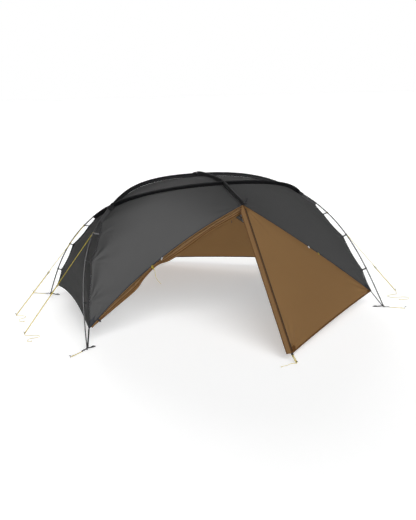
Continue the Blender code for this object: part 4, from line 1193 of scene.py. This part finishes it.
near = [main_pole_curve(0), flip(main_pole_curve(0), y=-1)]
near = [curve[np.linalg.norm(curve - CROSSING, axis=1) < 0.05] for curve in near]
cap_up = unit(CROSSING_NORMAL)
cap_side = np.array((0.0, 1.0, 0.0))
cap_down = np.cross(cap_side, cap_up)
ways = [unit(curve[-1] - curve[0]) for curve in near]
samples = np.vstack(near) - CROSSING
spread = [samples @ cap_down, samples @ cap_side]
terms = np.stack([spread[0] ** 2, spread[1] ** 2, spread[0], np.ones(len(samples))], axis=1)
bend = np.linalg.lstsq(terms, samples @ cap_up, rcond=None)[0]
rows = []
for reach in np.linspace(0.001, 1, 26) * CAP_RADIUS:
    row = []
    for turn in np.linspace(0, 2 * math.pi, 97):
        a, b = reach * math.cos(turn), reach * math.sin(turn)
        flat = a * cap_down + b * cap_side
        off = min(np.linalg.norm(np.cross(flat, unit(way - (way @ cap_up) * cap_up))) for way in ways)
        base = bend @ (a * a, b * b, a, 1) - SLEEVE_DROP
        lift = CAP_RISE * math.exp(-((off / CAP_SPREAD) ** 2))
        row.append(CROSSING + flat + (base + lift) * cap_up)
    rows.append(row)
for x_name, x in SIDES.items():
    cap = cloth_piece(f"crossing_cap_{x_name}", flip(np.array(rows), x=-x), BLACK_CLOTH)
    dressed(cap, "sleeve_cloth")

# Seam bindings. Dark folded tape covers the porch seams and the end hems, and brown tape the
# hems of the doors. Each is a few millimetres wide and lies on both sides of its cloth.
BINDING_WIDTH, BINDING_WALL = 0.0085, 0.0018
HEM_WIDTH = 0.012


def edge_band(name, rows, width, finish, slot, inside):
    """A binding over the last row of a piece of cloth, reaching in over it."""
    edge, beside = rows[-1], rows[-7]
    way = unit(beside - edge)
    binding = band(name, [edge + way * inside], [way], width, BINDING_WALL, finish)
    return dressed(binding, slot)


for (y_name, x_name), rows in PANELS.items():
    name = f"porch_seam_binding_{y_name}_{x_name}"
    edge_band(name, rows, BINDING_WIDTH, SEAM_TAPE, "webbing", 0.002)
for x_name, rows in END_PANELS.items():
    edge_band(f"end_hem_binding_{x_name}", rows, BINDING_WIDTH, SEAM_TAPE, "webbing", 0.003)
for (y_name, x_name), rows in DOORS.items():
    name = f"door_hem_binding_{y_name}_{x_name}"
    edge_band(name, rows, HEM_WIDTH, HEM_CLOTH, "door_brown", 0.004)

# Stitching. Lockstitch runs beside every seam and hem: short bits of thread, each a little
# longer than its gap, in dark thread on the canopy and brown thread on the doors.
STITCH = (0.0006, 0.0005, 0.0040)
STITCH_PITCH = 0.006
STITCH_LIFT = 0.0006
LINES_READ = 40
DARK_THREAD = plastic_finish("thread_dark", (0.055, 0.055, 0.057, 1), 0.7)
BROWN_THREAD = plastic_finish("thread_brown", (0.16, 0.085, 0.030, 1), 0.7)


def raised(rows, lift):
    """The grid moved outwards from the tent, or inwards where lift is less than nothing."""
    normal = unit(np.cross(np.gradient(rows, axis=1), np.gradient(rows, axis=0)))
    outward = 1 if ((rows - TENT_MIDDLE) * normal).sum() > 0 else -1
    return rows + normal * outward * lift


def stitch_lines(rows, spots, lift=STITCH_LIFT):
    """Lines on one side of a grid, each at a distance in from one edge along the grid's rows."""
    lifted = raised(rows, lift)
    lines = []
    for edge, inside in spots:
        turned_rows = {"top": lifted, "foot": lifted[::-1]}.get(edge)
        if turned_rows is None:
            turned_rows = np.swapaxes(lifted, 0, 1)
            turned_rows = turned_rows if edge == "first" else turned_rows[::-1]
        start = turned_rows[0]
        far = np.linalg.norm(turned_rows - start, axis=2)
        count = min(LINES_READ, len(turned_rows) - 1)
        line = []
        for j in range(len(start)):
            share = np.interp(inside, far[:count, j], np.arange(count))
            whole = int(share)
            step = turned_rows[whole + 1, j] - turned_rows[whole, j]
            line.append(turned_rows[whole, j] + (share - whole) * step)
        lines.append(np.array(line)[2:-2])
    return lines


for (y_name, x_name), rows in PANELS.items():
    spots = [("foot", 0.0085), ("foot", 0.012), ("last", 0.006), ("top", 0.004), ("first", 0.004)]
    lines = stitch_lines(rows, spots)
    stitches = bits(f"panel_stitches_{y_name}_{x_name}", lines, STITCH_PITCH, STITCH, DARK_THREAD, 4, 3)
    dressed(stitches, "canopy_grey")
for x_name, rows in END_PANELS.items():
    lines = stitch_lines(rows, [("foot", 0.0095), ("first", 0.006), ("last", 0.006)])
    dressed(bits(f"end_stitches_{x_name}", lines, STITCH_PITCH, STITCH, DARK_THREAD, 4, 3), "canopy_grey")
for (y_name, x_name), rows in DOORS.items():
    spots = [("foot", 0.013), ("first", 0.009), ("first", 0.013), ("last", 0.016)]
    lines = stitch_lines(rows, spots)
    stitches = bits(f"door_stitches_{y_name}_{x_name}", lines, STITCH_PITCH, STITCH, BROWN_THREAD, 4, 3)
    dressed(stitches, "door_brown")

# Corner patches and seam facings. Each corner is doubled with a patch of dark tape cloth, and a
# strip of the silver side faces each door's porch seam inside, with dark tape at its edge.
PATCH_LIFT = 0.0012
FACING_LIFT = -0.0022
# The reach runs along the door's rows, which meet the seam at an angle, so that the facing is
# of about one width square to the seam, and narrower in the door's tip.
FACING_REACH = (0.002, 0.0525)
# A patch follows the lines of the cloth under it, so its sizes and area are measured on those.
FOOT_PATCH, FOOT_PATCH_AREA = (0.067, 0.045), 0.0026
SIDE_PATCH, SIDE_PATCH_AREA = (0.039, 0.030), 0.0010
for (y_name, x_name), rows in DOORS.items():
    name = f"{y_name}_{x_name}"
    cuts = (
        ("foot", rows[-6:, -9:], FOOT_PATCH, FOOT_PATCH_AREA),
        ("side", rows[-4:, :6], SIDE_PATCH, SIDE_PATCH_AREA),
    )
    for place, block, size, area in cuts:
        patch = cloth_piece(f"door_patch_{place}_{name}", raised(block, PATCH_LIFT), HEM_CLOTH, 0.0006)
        dressed(patch, "door_brown")
    reaches = np.linspace(*FACING_REACH, 5)
    facing = np.array(stitch_lines(rows, [("first", reach) for reach in reaches], FACING_LIFT))
    piece = cloth_piece("seam_facing_" + name, facing, COATED_SIDE)
    dressed(piece, "canopy_grey")
    edge = band("seam_facing_tape_" + name, [facing[-1]], [facing[-1] - facing[0]], 0.008, 0.0014, SEAM_TAPE)
    dressed(edge, "webbing")
for (y_name, x_name), rows in PANELS.items():
    name = f"{y_name}_{x_name}"
    patch = cloth_piece("panel_patch_" + name, raised(rows[-9:, -7:], PATCH_LIFT), SEAM_TAPE, 0.0006)
    dressed(patch, "canopy_grey")

# Zips. A coil zip runs down the middle of each porch behind its storm flap. The back one is
# closed. The front one is open: its right half stays on the door and its slider is at the top.
ZIP_TAPE_WIDTH, ZIP_TAPE_WALL = 0.013, 0.0008
ZIP_TOOTH = (0.0046, 0.0018, 0.0016)
ZIP_PITCH = 0.0032
ZIP_PULL_AT = {"front": 0.055, "back": 0.965}
ZIP_CLOTH = webbing_finish("zip_tape", (0.020, 0.012, 0.006, 1), (0.040, 0.024, 0.012, 1), 0.7)
ZIP_NYLON = plastic_finish("zip_coil", (0.016, 0.012, 0.009, 1), 0.38)
SLIDER_METAL = plastic_finish("zip_slider", (0.05, 0.05, 0.052, 1), 0.30)
for y_name, y in ENDS.items():
    down = unit(LOW_POINT - PEAK)
    outward = np.array((0, down[2], -down[1]))
    side = np.array((1.0, 0, 0))
    path = PEAK + np.linspace(0.03, 0.985, 60)[:, None] * (LOW_POINT - PEAK)
    halves = (1,) if y_name == "front" else (-1, 1)
    tapes = [path + side * (half * 0.0075) + outward * 0.0004 for half in halves]
    tape = band(f"zip_tape_{y_name}", [flip(t, x=-y, y=-y) for t in tapes], [side] * len(tapes), ZIP_TAPE_WIDTH, ZIP_TAPE_WALL, ZIP_CLOTH)
    dressed(tape, "door_brown")
    coil = [path + side * (half * 0.0008) + outward * 0.0006 for half in halves]
    teeth = bits(f"zip_coil_{y_name}", [flip(c, x=-y, y=-y) for c in coil], ZIP_PITCH, ZIP_TOOTH, ZIP_NYLON, 5, 3)
    dressed(teeth, "door_brown")
    place = PEAK + ZIP_PULL_AT[y_name] * (LOW_POINT - PEAK)
    body = [place + down * 0.007 + outward * 0.001, place - down * 0.007 + outward * 0.001]
    body = band(f"zip_slider_{y_name}", [flip(body, x=-y, y=-y)], [side], np.array((0.007, 0.010)), 0.0035, SLIDER_METAL)
    dressed(body, "door_brown")
    ring = [place + (0.0022 * math.sin(t), 0, 0) + outward * -0.004 + (0, 0, -0.006 - 0.006 * math.cos(t)) for t in np.linspace(0, 6.0, 14)]
    dressed(swept(f"zip_pull_{y_name}", [flip(ring, x=-y, y=-y)], 0.0014, SLIDER_METAL, 8, True), "door_brown")

# Roll tie and toggles. Small grey barrel toggles and yellow cord loops sit in pairs on every
# porch seam, to hold a rolled door. The front left pair is in use, and its spare cord hangs.
TOGGLE_PROFILE = (
    (-0.0085, 0.0012),
    (-0.0080, 0.0030),
    (-0.0060, 0.0036),
    (-0.0015, 0.0028),
    (0.0015, 0.0028),
    (0.0060, 0.0036),
    (0.0080, 0.0030),
    (0.0085, 0.0012),
)
TOGGLE_AT, LOOP_AT = 0.492, 0.572
TOGGLE_SCALE = 1.25
ROLL_TIE_TAIL = (
    (-0.6860, -0.5835, 0.4975),
    (-0.6820, -0.5855, 0.4920),
    (-0.676, -0.589, 0.452),
    (-0.660, -0.587, 0.410),
    (-0.632, -0.585, 0.374),
)
TOGGLE_GREY = plastic_finish("toggle_grey", (0.58, 0.62, 0.67, 1), 0.35)

for (y_name, x_name), panel in PANELS.items():
    seam, beside = panel[-1], panel[-9]
    in_use = (y_name, x_name) == ("front", "left")
    loop_at = ROLL_TIE_AT - 0.004 if in_use else LOOP_AT
    at = along(seam, [TOGGLE_AT, TOGGLE_AT + 0.004, loop_at, loop_at + 0.004])
    below = unit(at[0] - along(beside, [TOGGLE_AT])[0])
    way = unit(at[1] - at[0])
    out = unit(np.cross(way, below))
    out = out if out @ (at[0] - TENT_MIDDLE) > 0 else -out
    centre = at[0] + below * 0.010 + out * 0.005
    lean = unit(way * 0.5 + below * 0.8)
    name = f"{y_name}_{x_name}"
    profile = [(far * TOGGLE_SCALE, out_by * TOGGLE_SCALE) for far, out_by in TOGGLE_PROFILE]
    toggle = turned("toggle_" + name, [(centre, lean)], profile, TOGGLE_GREY)
    dressed(toggle, "webbing")
    stem = [at[0] - below * 0.002, at[0] + below * 0.003 + out * 0.003, centre]
    dressed(swept("toggle_stem_" + name, [smooth(stem, 10)], 0.002, WEBBING, 8), "webbing")
    loop = []
    for turn in np.linspace(0.5, 2 * math.pi - 0.5, 24):
        reach = 0.009 * (1 - math.cos(turn))
        loop.append(at[2] + below * (reach - 0.003) + way * 0.006 * math.sin(turn) + out * 0.0035)
    dressed(swept("tie_loop_" + name, [np.array(loop)], 0.0026, BRAID), "cord")

centre, ways, hang, across = roll_frame(np.array((ROLL_TIE_AT - 0.001, ROLL_TIE_AT, ROLL_TIE_AT + 0.001)))
full = roll_size(ROLL_TIE_AT) * 1.04
middle = centre[1] + hang[1] * (ROLL_NECK + ROLL_RADIUS) * full
wraps = []
for shift in (-0.0022, 0.0022):
    turns = np.linspace(0, 2 * math.pi, 40, endpoint=False)[:, None]
    oval = hang[1] * np.cos(turns) * (ROLL_RADIUS + ROLL_NECK) * full + across[1] * np.sin(turns) * (ROLL_RADIUS * full + 0.0015)
    wraps.append(middle + oval + ways[1] * shift)
dressed(swept("roll_tie", wraps, 0.003, BRAID, 10, True), "cord")
tail = smooth(ROLL_TIE_TAIL)
length = run_of(tail)[-1]
tail = along(tail, np.linspace(0, 1, round(length / CORD_RING) + 1))
cord = dressed(swept("roll_tie_tail", [tail], CORD_DIAMETER, BRAID), "cord", "roll_tie_tail")
knot = swept("roll_tie_tail_knot", [knot_line(tail[-1], tail[-1] - tail[-2])], CORD_DIAMETER * 0.8, BRAID)
dressed(knot, "cord")

HANGING_TOGGLES = {"zip_toggle": (0.088, 0.9, CLIP_PLASTIC), "flap_toggle": (0.036, 0.8, HEM_CLOTH)}
for name, (share, scale, finish) in HANGING_TOGGLES.items():
    centre, ways, hang, across = roll_frame(np.array((share - 0.001, share, share + 0.001)))
    edge = centre[1] + hang[1] * (ROLL_NECK + 2 * ROLL_RADIUS) * roll_size(share) * 0.97
    spot = edge + (0, 0, -0.016)
    profile = [(far * scale, out_by * scale) for far, out_by in TOGGLE_PROFILE]
    dressed(turned(name, [(spot, (0.1, 0, 1))], profile, finish), "webbing")
    dressed(swept(name + "_cord", [np.array((edge + (0, 0, 0.006), edge, spot))], 0.0024, WEBBING, 8), "webbing")

# Peak tabs. Webbing reaches from each porch peak to the ridge pole's end, where it is folded
# over the plastic end cap and finishes in a short tail to pull it off by.
TAB_WIDE = 0.015
TAB_TAIL = np.array((0.011, -0.005, 0.040))
TAIL_WALL = 0.0028
CAP_PROFILE = ((-0.022, 0.0046), (-0.021, 0.0056), (-0.002, 0.0058), (0.002, 0.0048), (0.004, 0.0025))
tip, before = RIDGE_POLE_CURVE[0], RIDGE_POLE_CURVE[40]
tip_way = unit(tip - before)
under = unit(np.array((0, tip_way[2], -tip_way[1])))
under = under if under[2] < 0 else -under
meets = tip - 0.020 * tip_way + under * 0.0062
for y_name, y in ENDS.items():
    knots = [PEAK + unit(meets - PEAK) * 0.001, meets + under * 0.002, tip + under * 0.0066, tip + tip_way * 0.0058]
    knots += [tip - under * 0.0066, tip + TAB_TAIL / 2, tip + TAB_TAIL]
    path = smooth(knots, 60)
    tab = band(f"peak_tab_{y_name}_webbing", [flip(path, y=-y)], [(1.0, 0, 0)], TAB_WIDE, TAIL_WALL, WEBBING)
    dressed(tab, "webbing", f"peak_tab_{y_name}")
    spot = (flip(tip, y=-y), flip(tip_way, y=-y))
    dressed(turned(f"ridge_pole_cap_{y_name}", [spot], CAP_PROFILE, CLIP_PLASTIC), "webbing")

# Foot straps. From each corner a strap runs down to a ground strap, which has an eyelet for the
# pole's foot, a ladder buckle inside the tent and a folded loop outside for its stake's cord.
GROUND_STRAP_WAY = unit((0.82, 0.572, 0))
GROUND_STRAP_WIDTH = 0.016
GROUND_STRAP_ENDS = (-0.090, 0.052)
STRAP_BESIDE_FOOT = 0.004
BUCKLE_AT, BUCKLE_SIZE = -0.066, (0.030, 0.024)
RISE_AT, RISE_WIDTH = -0.0085, 0.012
STRAP_ARCH, STRAP_ARCH_REACH, STRAP_WAVE = 0.0085, 0.034, 0.0060
FOOT_CAP = ((-0.020, 0.0044), (-0.019, 0.0054), (-0.004, 0.0054), (-0.002, 0.0030), (0.0030, 0.0024), (0.0040, 0.0014))
METAL_GREY = (0.10, 0.10, 0.105, 1)


def metal_finish(name, colour, roughness):
    """Bent rod or pressed metal, satin, with rubbed bright spots."""
    made, shader, add = new_finish(name, colour, roughness, 0.8)
    place = add.node("ShaderNodeTexCoord", output="Object")
    rubbed = add.noise(place, 160.0, 4.0, 0.6)
    spots = add.node("ShaderNodeMapRange", None, {"Value": rubbed, 1: 0.52, 2: 0.75})
    add.mixed(spots * 0.6, colour, (0.35, 0.35, 0.36, 1)).feed(shader, "Base Color")
    (rubbed * 0.25 + (roughness - 0.1)).feed(shader, "Roughness")
    add.bump(rubbed, 0.0001, 0.4).feed(shader, "Normal")
    return made


STAKE_METAL = metal_finish("stake_rod", METAL_GREY, 0.38)
strap_aside = np.array((-GROUND_STRAP_WAY[1], GROUND_STRAP_WAY[0], 0))
foot = np.array((FOOT_X, FOOT_Y - STRAP_BESIDE_FOOT, TAB_WALL / 2))
for y_name, y in ENDS.items():
    for x_name, x in SIDES.items():
        name = f"foot_strap_{y_name}_{x_name}"
        reaches = np.linspace(*GROUND_STRAP_ENDS, 72)
        wave = np.clip((reaches - 0.016) / 0.012, 0, 1) * np.sin((reaches - 0.016) / 0.0055) ** 2
        arch = STRAP_ARCH * np.exp(-((reaches / STRAP_ARCH_REACH) ** 2))
        ground = foot + reaches[:, None] * GROUND_STRAP_WAY
        ground[:, 2] += arch + STRAP_WAVE * wave
        reaches = np.linspace(BUCKLE_AT - 0.010, -0.018, 30)
        tail = foot + reaches[:, None] * GROUND_STRAP_WAY
        over_buckle = 0.0030 * np.exp(-(((reaches - BUCKLE_AT) / 0.010) ** 2))
        arch = STRAP_ARCH * np.exp(-((reaches / STRAP_ARCH_REACH) ** 2))
        tail[:, 2] += arch + 0.0022 + over_buckle + 0.0012 * np.sin(reaches * 160)
        low = foot + RISE_AT * GROUND_STRAP_WAY + (0, 0, STRAP_ARCH + 0.0016)
        drop = unit(low - CORNER)
        rise = CORNER + 0.001 * drop + np.linspace(0, 1, 24)[:, None] * (low - CORNER - 0.001 * drop)
        across = np.cross(drop, (0, 0, 1))
        paths = [flip(ground, x=x, y=y), flip(tail, x=x, y=y)]
        sides = [flip(strap_aside, x=x, y=y)] * 2
        strap = band(name + "_webbing", paths, sides, GROUND_STRAP_WIDTH, TAB_WALL, WEBBING)
        dressed(strap, "webbing", name)
        riser = band(name + "_riser", [flip(rise, x=x, y=y)], [flip(across, x=x, y=y)], RISE_WIDTH, TAB_WALL, WEBBING)
        dressed(riser, "webbing")
        centre = foot + BUCKLE_AT * GROUND_STRAP_WAY + (0, 0, 0.0024)
        half_long, half_wide = BUCKLE_SIZE[0] / 2, BUCKLE_SIZE[1] / 2
        frame_line = []
        for turn in np.linspace(0, 2 * math.pi, 48, endpoint=False):
            c, d = math.cos(turn), math.sin(turn)
            a = half_long * math.copysign(abs(c) ** 0.35, c)
            b = half_wide * math.copysign(abs(d) ** 0.35, d)
            frame_line.append(centre + a * GROUND_STRAP_WAY + b * strap_aside)
        bars = []
        for shift in (-0.3, 0.3):
            bar = centre + shift * BUCKLE_SIZE[0] * GROUND_STRAP_WAY + (0, 0, 0.0012)
            bars.append(np.array([bar - half_wide * strap_aside, bar, bar + half_wide * strap_aside]))
        buckle = swept(name + "_buckle", [flip(frame_line, x=x, y=y)], 0.0040, CLIP_PLASTIC, 10, True)
        dressed(buckle, "webbing")
        bars = swept(name + "_buckle_bars", [flip(bar, x=x, y=y) for bar in bars], 0.0034, CLIP_PLASTIC)
        dressed(bars, "webbing")
        pole_foot = np.array((FOOT_X, FOOT_Y, FOOT_Z))
        ring = [pole_foot + (0.0078 * math.cos(t), 0.0078 * math.sin(t), -0.0030) for t in np.linspace(0, 2 * math.pi, 32, endpoint=False)]
        dressed(swept(name + "_eyelet", [flip(ring, x=x, y=y)], 0.0022, STAKE_METAL, 10, True), "stake")
        leg = pole_leg(y)
        way = unit(leg_point(leg, 0.006) - leg_point(leg, 0.03))
        spot = (flip(pole_foot + way * 0.001, x=x, y=y), flip(way, x=x, y=y))
        dressed(turned(f"pole_foot_{y_name}_{x_name}", [spot], FOOT_CAP, CLIP_PLASTIC), "pole")

# Guy lines. Each is hitched round a pole leg at its top strap, runs to a stake, goes round it
# and comes back to a flat slider, so that it is doubled below the slider.
GUY_ANCHOR_X, GUY_ANCHOR_Y = 1.63, {"left": 0.245, "right": 0.406}
GUY_SLIDER_AT = {"left": 0.525, "right": 0.70}
GUY_SLIDER = (0.028, 0.011)
GUY_STAKE_TURN = 0.2
GUY_DIAMETER = 0.0036
STRAND_APART = 0.0023
CORD_HOLD_Z = 0.006
STAKE_DIAMETER, STAKE_HEIGHT = 0.004, 0.020
STAKE_BEND = ((0, 0), (0, 0.7), (0.12, 0.95), (0.4, 1.0), (0.6, 0.85))
SLIDER_PALE = plastic_finish("line_slider", (0.30, 0.31, 0.30, 1), 0.4)


def stake_head(name, place, lean, *nodes):
    """The bent head of a stake, which stands out of the ground."""
    lean = unit((*lean, 0)) * STAKE_HEIGHT
    knots = [(*place, 0) + lean * out + (0, 0, up * STAKE_HEIGHT) for out, up in STAKE_BEND]
    return dressed(swept(name, [smooth(knots, 30)], STAKE_DIAMETER, STAKE_METAL, 14), "stake", *nodes)


def cord_ring(place, way, radius):
    """A circle of cord round a place, in the plane across a way."""
    way = unit(way)
    side = unit(np.cross(way, (0.2, 0.1, 0.9)))
    turns = np.linspace(0, 2 * math.pi, 36, endpoint=False)[:, None]
    return place + radius * (side * np.cos(turns) + np.cross(way, side) * np.sin(turns))


for y_name, y in ENDS.items():
    leg = pole_leg(y)
    hold = leg_point(leg, TABS[0][1])
    pole_way = unit(leg_point(leg, TABS[0][1] + 0.01) - hold)
    for x_name, x in SIDES.items():
        name = f"{y_name}_{x_name}"
        anchor = np.array((GUY_ANCHOR_X, GUY_ANCHOR_Y[x_name], CORD_HOLD_Z))
        way = unit(anchor - hold)
        side = np.cross(unit(np.cross(way, (0, 0, 1))), way)
        start, end = hold + way * 0.0065, anchor - way * 0.001
        share = GUY_SLIDER_AT[x_name]
        line = start + np.linspace(0, 1, 90)[:, None] * (end - start)
        line = line + side * STRAND_APART
        back = start + np.linspace(share - 0.02, 1, 60)[:, None] * (end - start)
        back = back - side * STRAND_APART
        ring = cord_ring(anchor + (0, 0, 0.001), (0, 0, 1), STAKE_DIAMETER / 2 + 0.0015)
        lines = [flip(part, x=x, y=y) for part in (line, back)]
        dressed(swept("guy_line_cord_" + name, lines, GUY_DIAMETER, BRAID), "cord", f"guy_line_{name}")
        hitch = cord_ring(hold, pole_way, POLE_DIAMETER / 2 + 0.0015)
        twist = cord_ring(hold + pole_way * 0.0031, pole_way, POLE_DIAMETER / 2 + 0.0015)
        rings = [flip(part, x=x, y=y) for part in (hitch, twist, ring)]
        dressed(swept("guy_line_hitch_" + name, rings, CORD_DIAMETER, BRAID, 10, True), "cord")
        knots = [hold + way * 0.014, start + (share - 0.03) * (end - start)]
        knots = [flip(knot_line(place, way), x=x, y=y) for place in knots]
        dressed(swept("guy_line_knots_" + name, knots, CORD_DIAMETER * 0.85, BRAID), "cord")
        centre = start + share * (end - start)
        plate = []
        for turn in np.linspace(0, 2 * math.pi, 40, endpoint=False):
            c, d = math.cos(turn), math.sin(turn)
            a = GUY_SLIDER[0] / 2 * math.copysign(abs(c) ** 0.5, c)
            b = GUY_SLIDER[1] / 2 * math.copysign(abs(d) ** 0.5, d)
            plate.append(centre + a * way + b * side)
        dressed(swept("guy_slider_" + name, [flip(plate, x=x, y=y)], 0.0040, SLIDER_PALE, 10, True), "cord")
        bars = []
        for shift in (-0.25, 0.25):
            bar = centre + shift * GUY_SLIDER[0] * way
            bars.append(flip([bar - side * 0.005, bar, bar + side * 0.005], x=x, y=y))
        dressed(swept("guy_slider_bars_" + name, bars, 0.0036, SLIDER_PALE), "cord")
        place = anchor[:2] * (x, y)
        stake_head("guy_stake_head_" + name, place, (x, GUY_STAKE_TURN * y), f"guy_stake_{name}")

# Porch pegs. The bottom corner of each pair of doors has a webbing tab with a hook, and a double
# loop of yellow cord from the hook to a stake.
PORCH_STAKE_Y = 1.59
for y_name, y in ENDS.items():
    stake_place = np.array((0, -PORCH_STAKE_Y, CORD_HOLD_Z))
    way = unit(stake_place - LOW_POINT)
    side = np.array((1.0, 0, 0))
    start, end = LOW_POINT + way * 0.010, stake_place + way * 0.0035
    loops = []
    for turn_side in (-1, 1):
        oval = []
        for turn in np.linspace(0, 2 * math.pi, 60, endpoint=False):
            along_it = (1 - math.cos(turn)) / 2
            wide = 0.0044 * math.copysign(abs(math.sin(turn)) ** 0.5, math.sin(turn))
            lift = np.array((0, 0, 0.0016 * turn_side))
            oval.append(start + along_it * (end - start) + side * (wide + 0.0020 * turn_side) + lift)
        loops.append(flip(oval, y=-y))
    name = "porch_" + y_name
    dressed(swept(name + "_loops", loops, CORD_DIAMETER, BRAID, 10, True), "cord", f"porch_loop_{y_name}")
    knot = knot_line(start + (end - start) * 0.80 + (0, 0, 0.003), way)
    dressed(swept(name + "_knot", [flip(knot, y=-y)], CORD_DIAMETER, BRAID), "cord")
    tab = [LOW_POINT - way * 0.030, LOW_POINT - way * 0.010, LOW_POINT + way * 0.006, LOW_POINT + way * 0.0125]
    tab = smooth(np.array(tab) + (0, 0, 0.0015), 24)
    dressed(band(name + "_tab", [flip(tab, y=-y)], [side], 0.020, 0.0024, WEBBING), "webbing")
    hook = [start - way * 0.004 + (0, 0, 0.004), start + way * 0.004 + (0, 0, 0.005), start + way * 0.013 + (0, 0, 0.001), start + way * 0.010 + (0, 0, -0.005), start + (0, 0, -0.003)]
    dressed(swept(name + "_hook", [flip(smooth(hook, 30), y=-y)], 0.0040, CLIP_PLASTIC), "webbing")
    stake_head(name + "_stake_head", (0, y * PORCH_STAKE_Y), (0, y), f"porch_stake_{y_name}")

# Foot cords. A short doubled cord runs from each ground strap to the stake that pins it, and is
# knotted near its outer end.
FOOT_STAKE = (1.40, 0.868)
for y_name, y in ENDS.items():
    for x_name, x in SIDES.items():
        name = f"foot_cord_{y_name}_{x_name}"
        start = foot + (GROUND_STRAP_ENDS[1] - 0.001) * GROUND_STRAP_WAY
        start[2] = CORD_LIE
        end = np.array((*FOOT_STAKE, CORD_LIE))
        way = unit(end - start)
        side = unit(np.cross(way, (0, 0, 1)))
        share = np.linspace(0, 1, 40)[:, None]
        bow = 0.0018 * np.sin(math.pi * share) ** 0.5 * side
        strands = [start + share * (end - start) + bow * k + side * 0.0012 * k for k in (-1, 1)]
        cords = swept(name + "_strands", [flip(strand, x=x, y=y) for strand in strands], CORD_DIAMETER * 0.9, BRAID)
        dressed(cords, "cord", name)
        knot = knot_line(start + (end - start) * 0.78 + (0, 0, 0.002), way)
        dressed(swept(name + "_knot", [flip(knot, x=x, y=y)], CORD_DIAMETER, BRAID), "cord")
        stake_head(name + "_stake_head", np.array(FOOT_STAKE) * (x, y), (x * way[0], y * way[1]))

# Studio. The tent stands on a lit white sweep, the same white as what is behind it, under two
# soft lamps, so that its shadow is faint.
FLOOR_WHITE = (0.80, 0.80, 0.80, 1)
FLOOR_GLOW = 0.42
FLOOR_REACH = 60.0
SURROUND = 0.10

floor_finish, floor_shader, floor_add = new_finish("studio_floor", FLOOR_WHITE, 0.9)
floor_place = floor_add.node("ShaderNodeTexCoord", output="Object")
floor_mottle = floor_add.noise(floor_place, 0.7, 2.0)
floor_white = floor_add.mixed(floor_mottle, (0.795, 0.795, 0.795, 1), (0.805, 0.805, 0.805, 1))
floor_white.feed(floor_shader, "Base Color")
floor_shader.inputs["Specular IOR Level"].default_value = 0.0
floor_shader.inputs["Emission Color"].default_value = (1, 1, 1, 1)
floor_rays = floor_add.node("ShaderNodeLightPath", output="Is Camera Ray")
(floor_rays * FLOOR_GLOW).feed(floor_shader, "Emission Strength")
floor_mesh = bpy.data.meshes.new("studio_floor")
corners = [(x * FLOOR_REACH, y * FLOOR_REACH, 0) for x, y in ((-1, -1), (1, -1), (1, 1), (-1, 1))]
floor_mesh.from_pydata(corners, [], [(0, 1, 2, 3)])
floor_mesh.materials.append(floor_finish)
floor = bpy.data.objects.new("studio_floor", floor_mesh)
bpy.context.scene.collection.objects.link(floor)


def lamp(name, way, spread, strength, glossy):
    """A far soft lamp that shines from a direction."""
    light = bpy.data.lights.new(name, "SUN")
    light.angle = math.radians(spread)
    light.energy = strength
    made = bpy.data.objects.new(name, light)
    made.rotation_euler = Vector(way).to_track_quat("Z", "Y").to_euler()
    made.visible_glossy = glossy
    bpy.context.scene.collection.objects.link(made)
    return made


lamp("key_lamp", (0.0, -0.82, 0.57), 60, 3.0, True)
lamp("top_lamp", (-0.52, -0.30, 0.80), 60, 8.0, True).visible_diffuse = False
lamp("back_lamp", (0.15, 0.97, 0.16), 40, 4.0, False)
world = bpy.data.worlds.new("studio_white")
world.use_nodes = True
around = Wire(world.node_tree)
rays = around.node("ShaderNodeLightPath", output="Is Camera Ray")
strength = rays * (1 - SURROUND) + SURROUND
strength.feed(world.node_tree.nodes["Background"], "Strength")
world.node_tree.nodes["Background"].inputs["Color"].default_value = (1, 1, 1, 1)
bpy.context.scene.world = world
bpy.context.scene.view_settings.view_transform = "Standard"
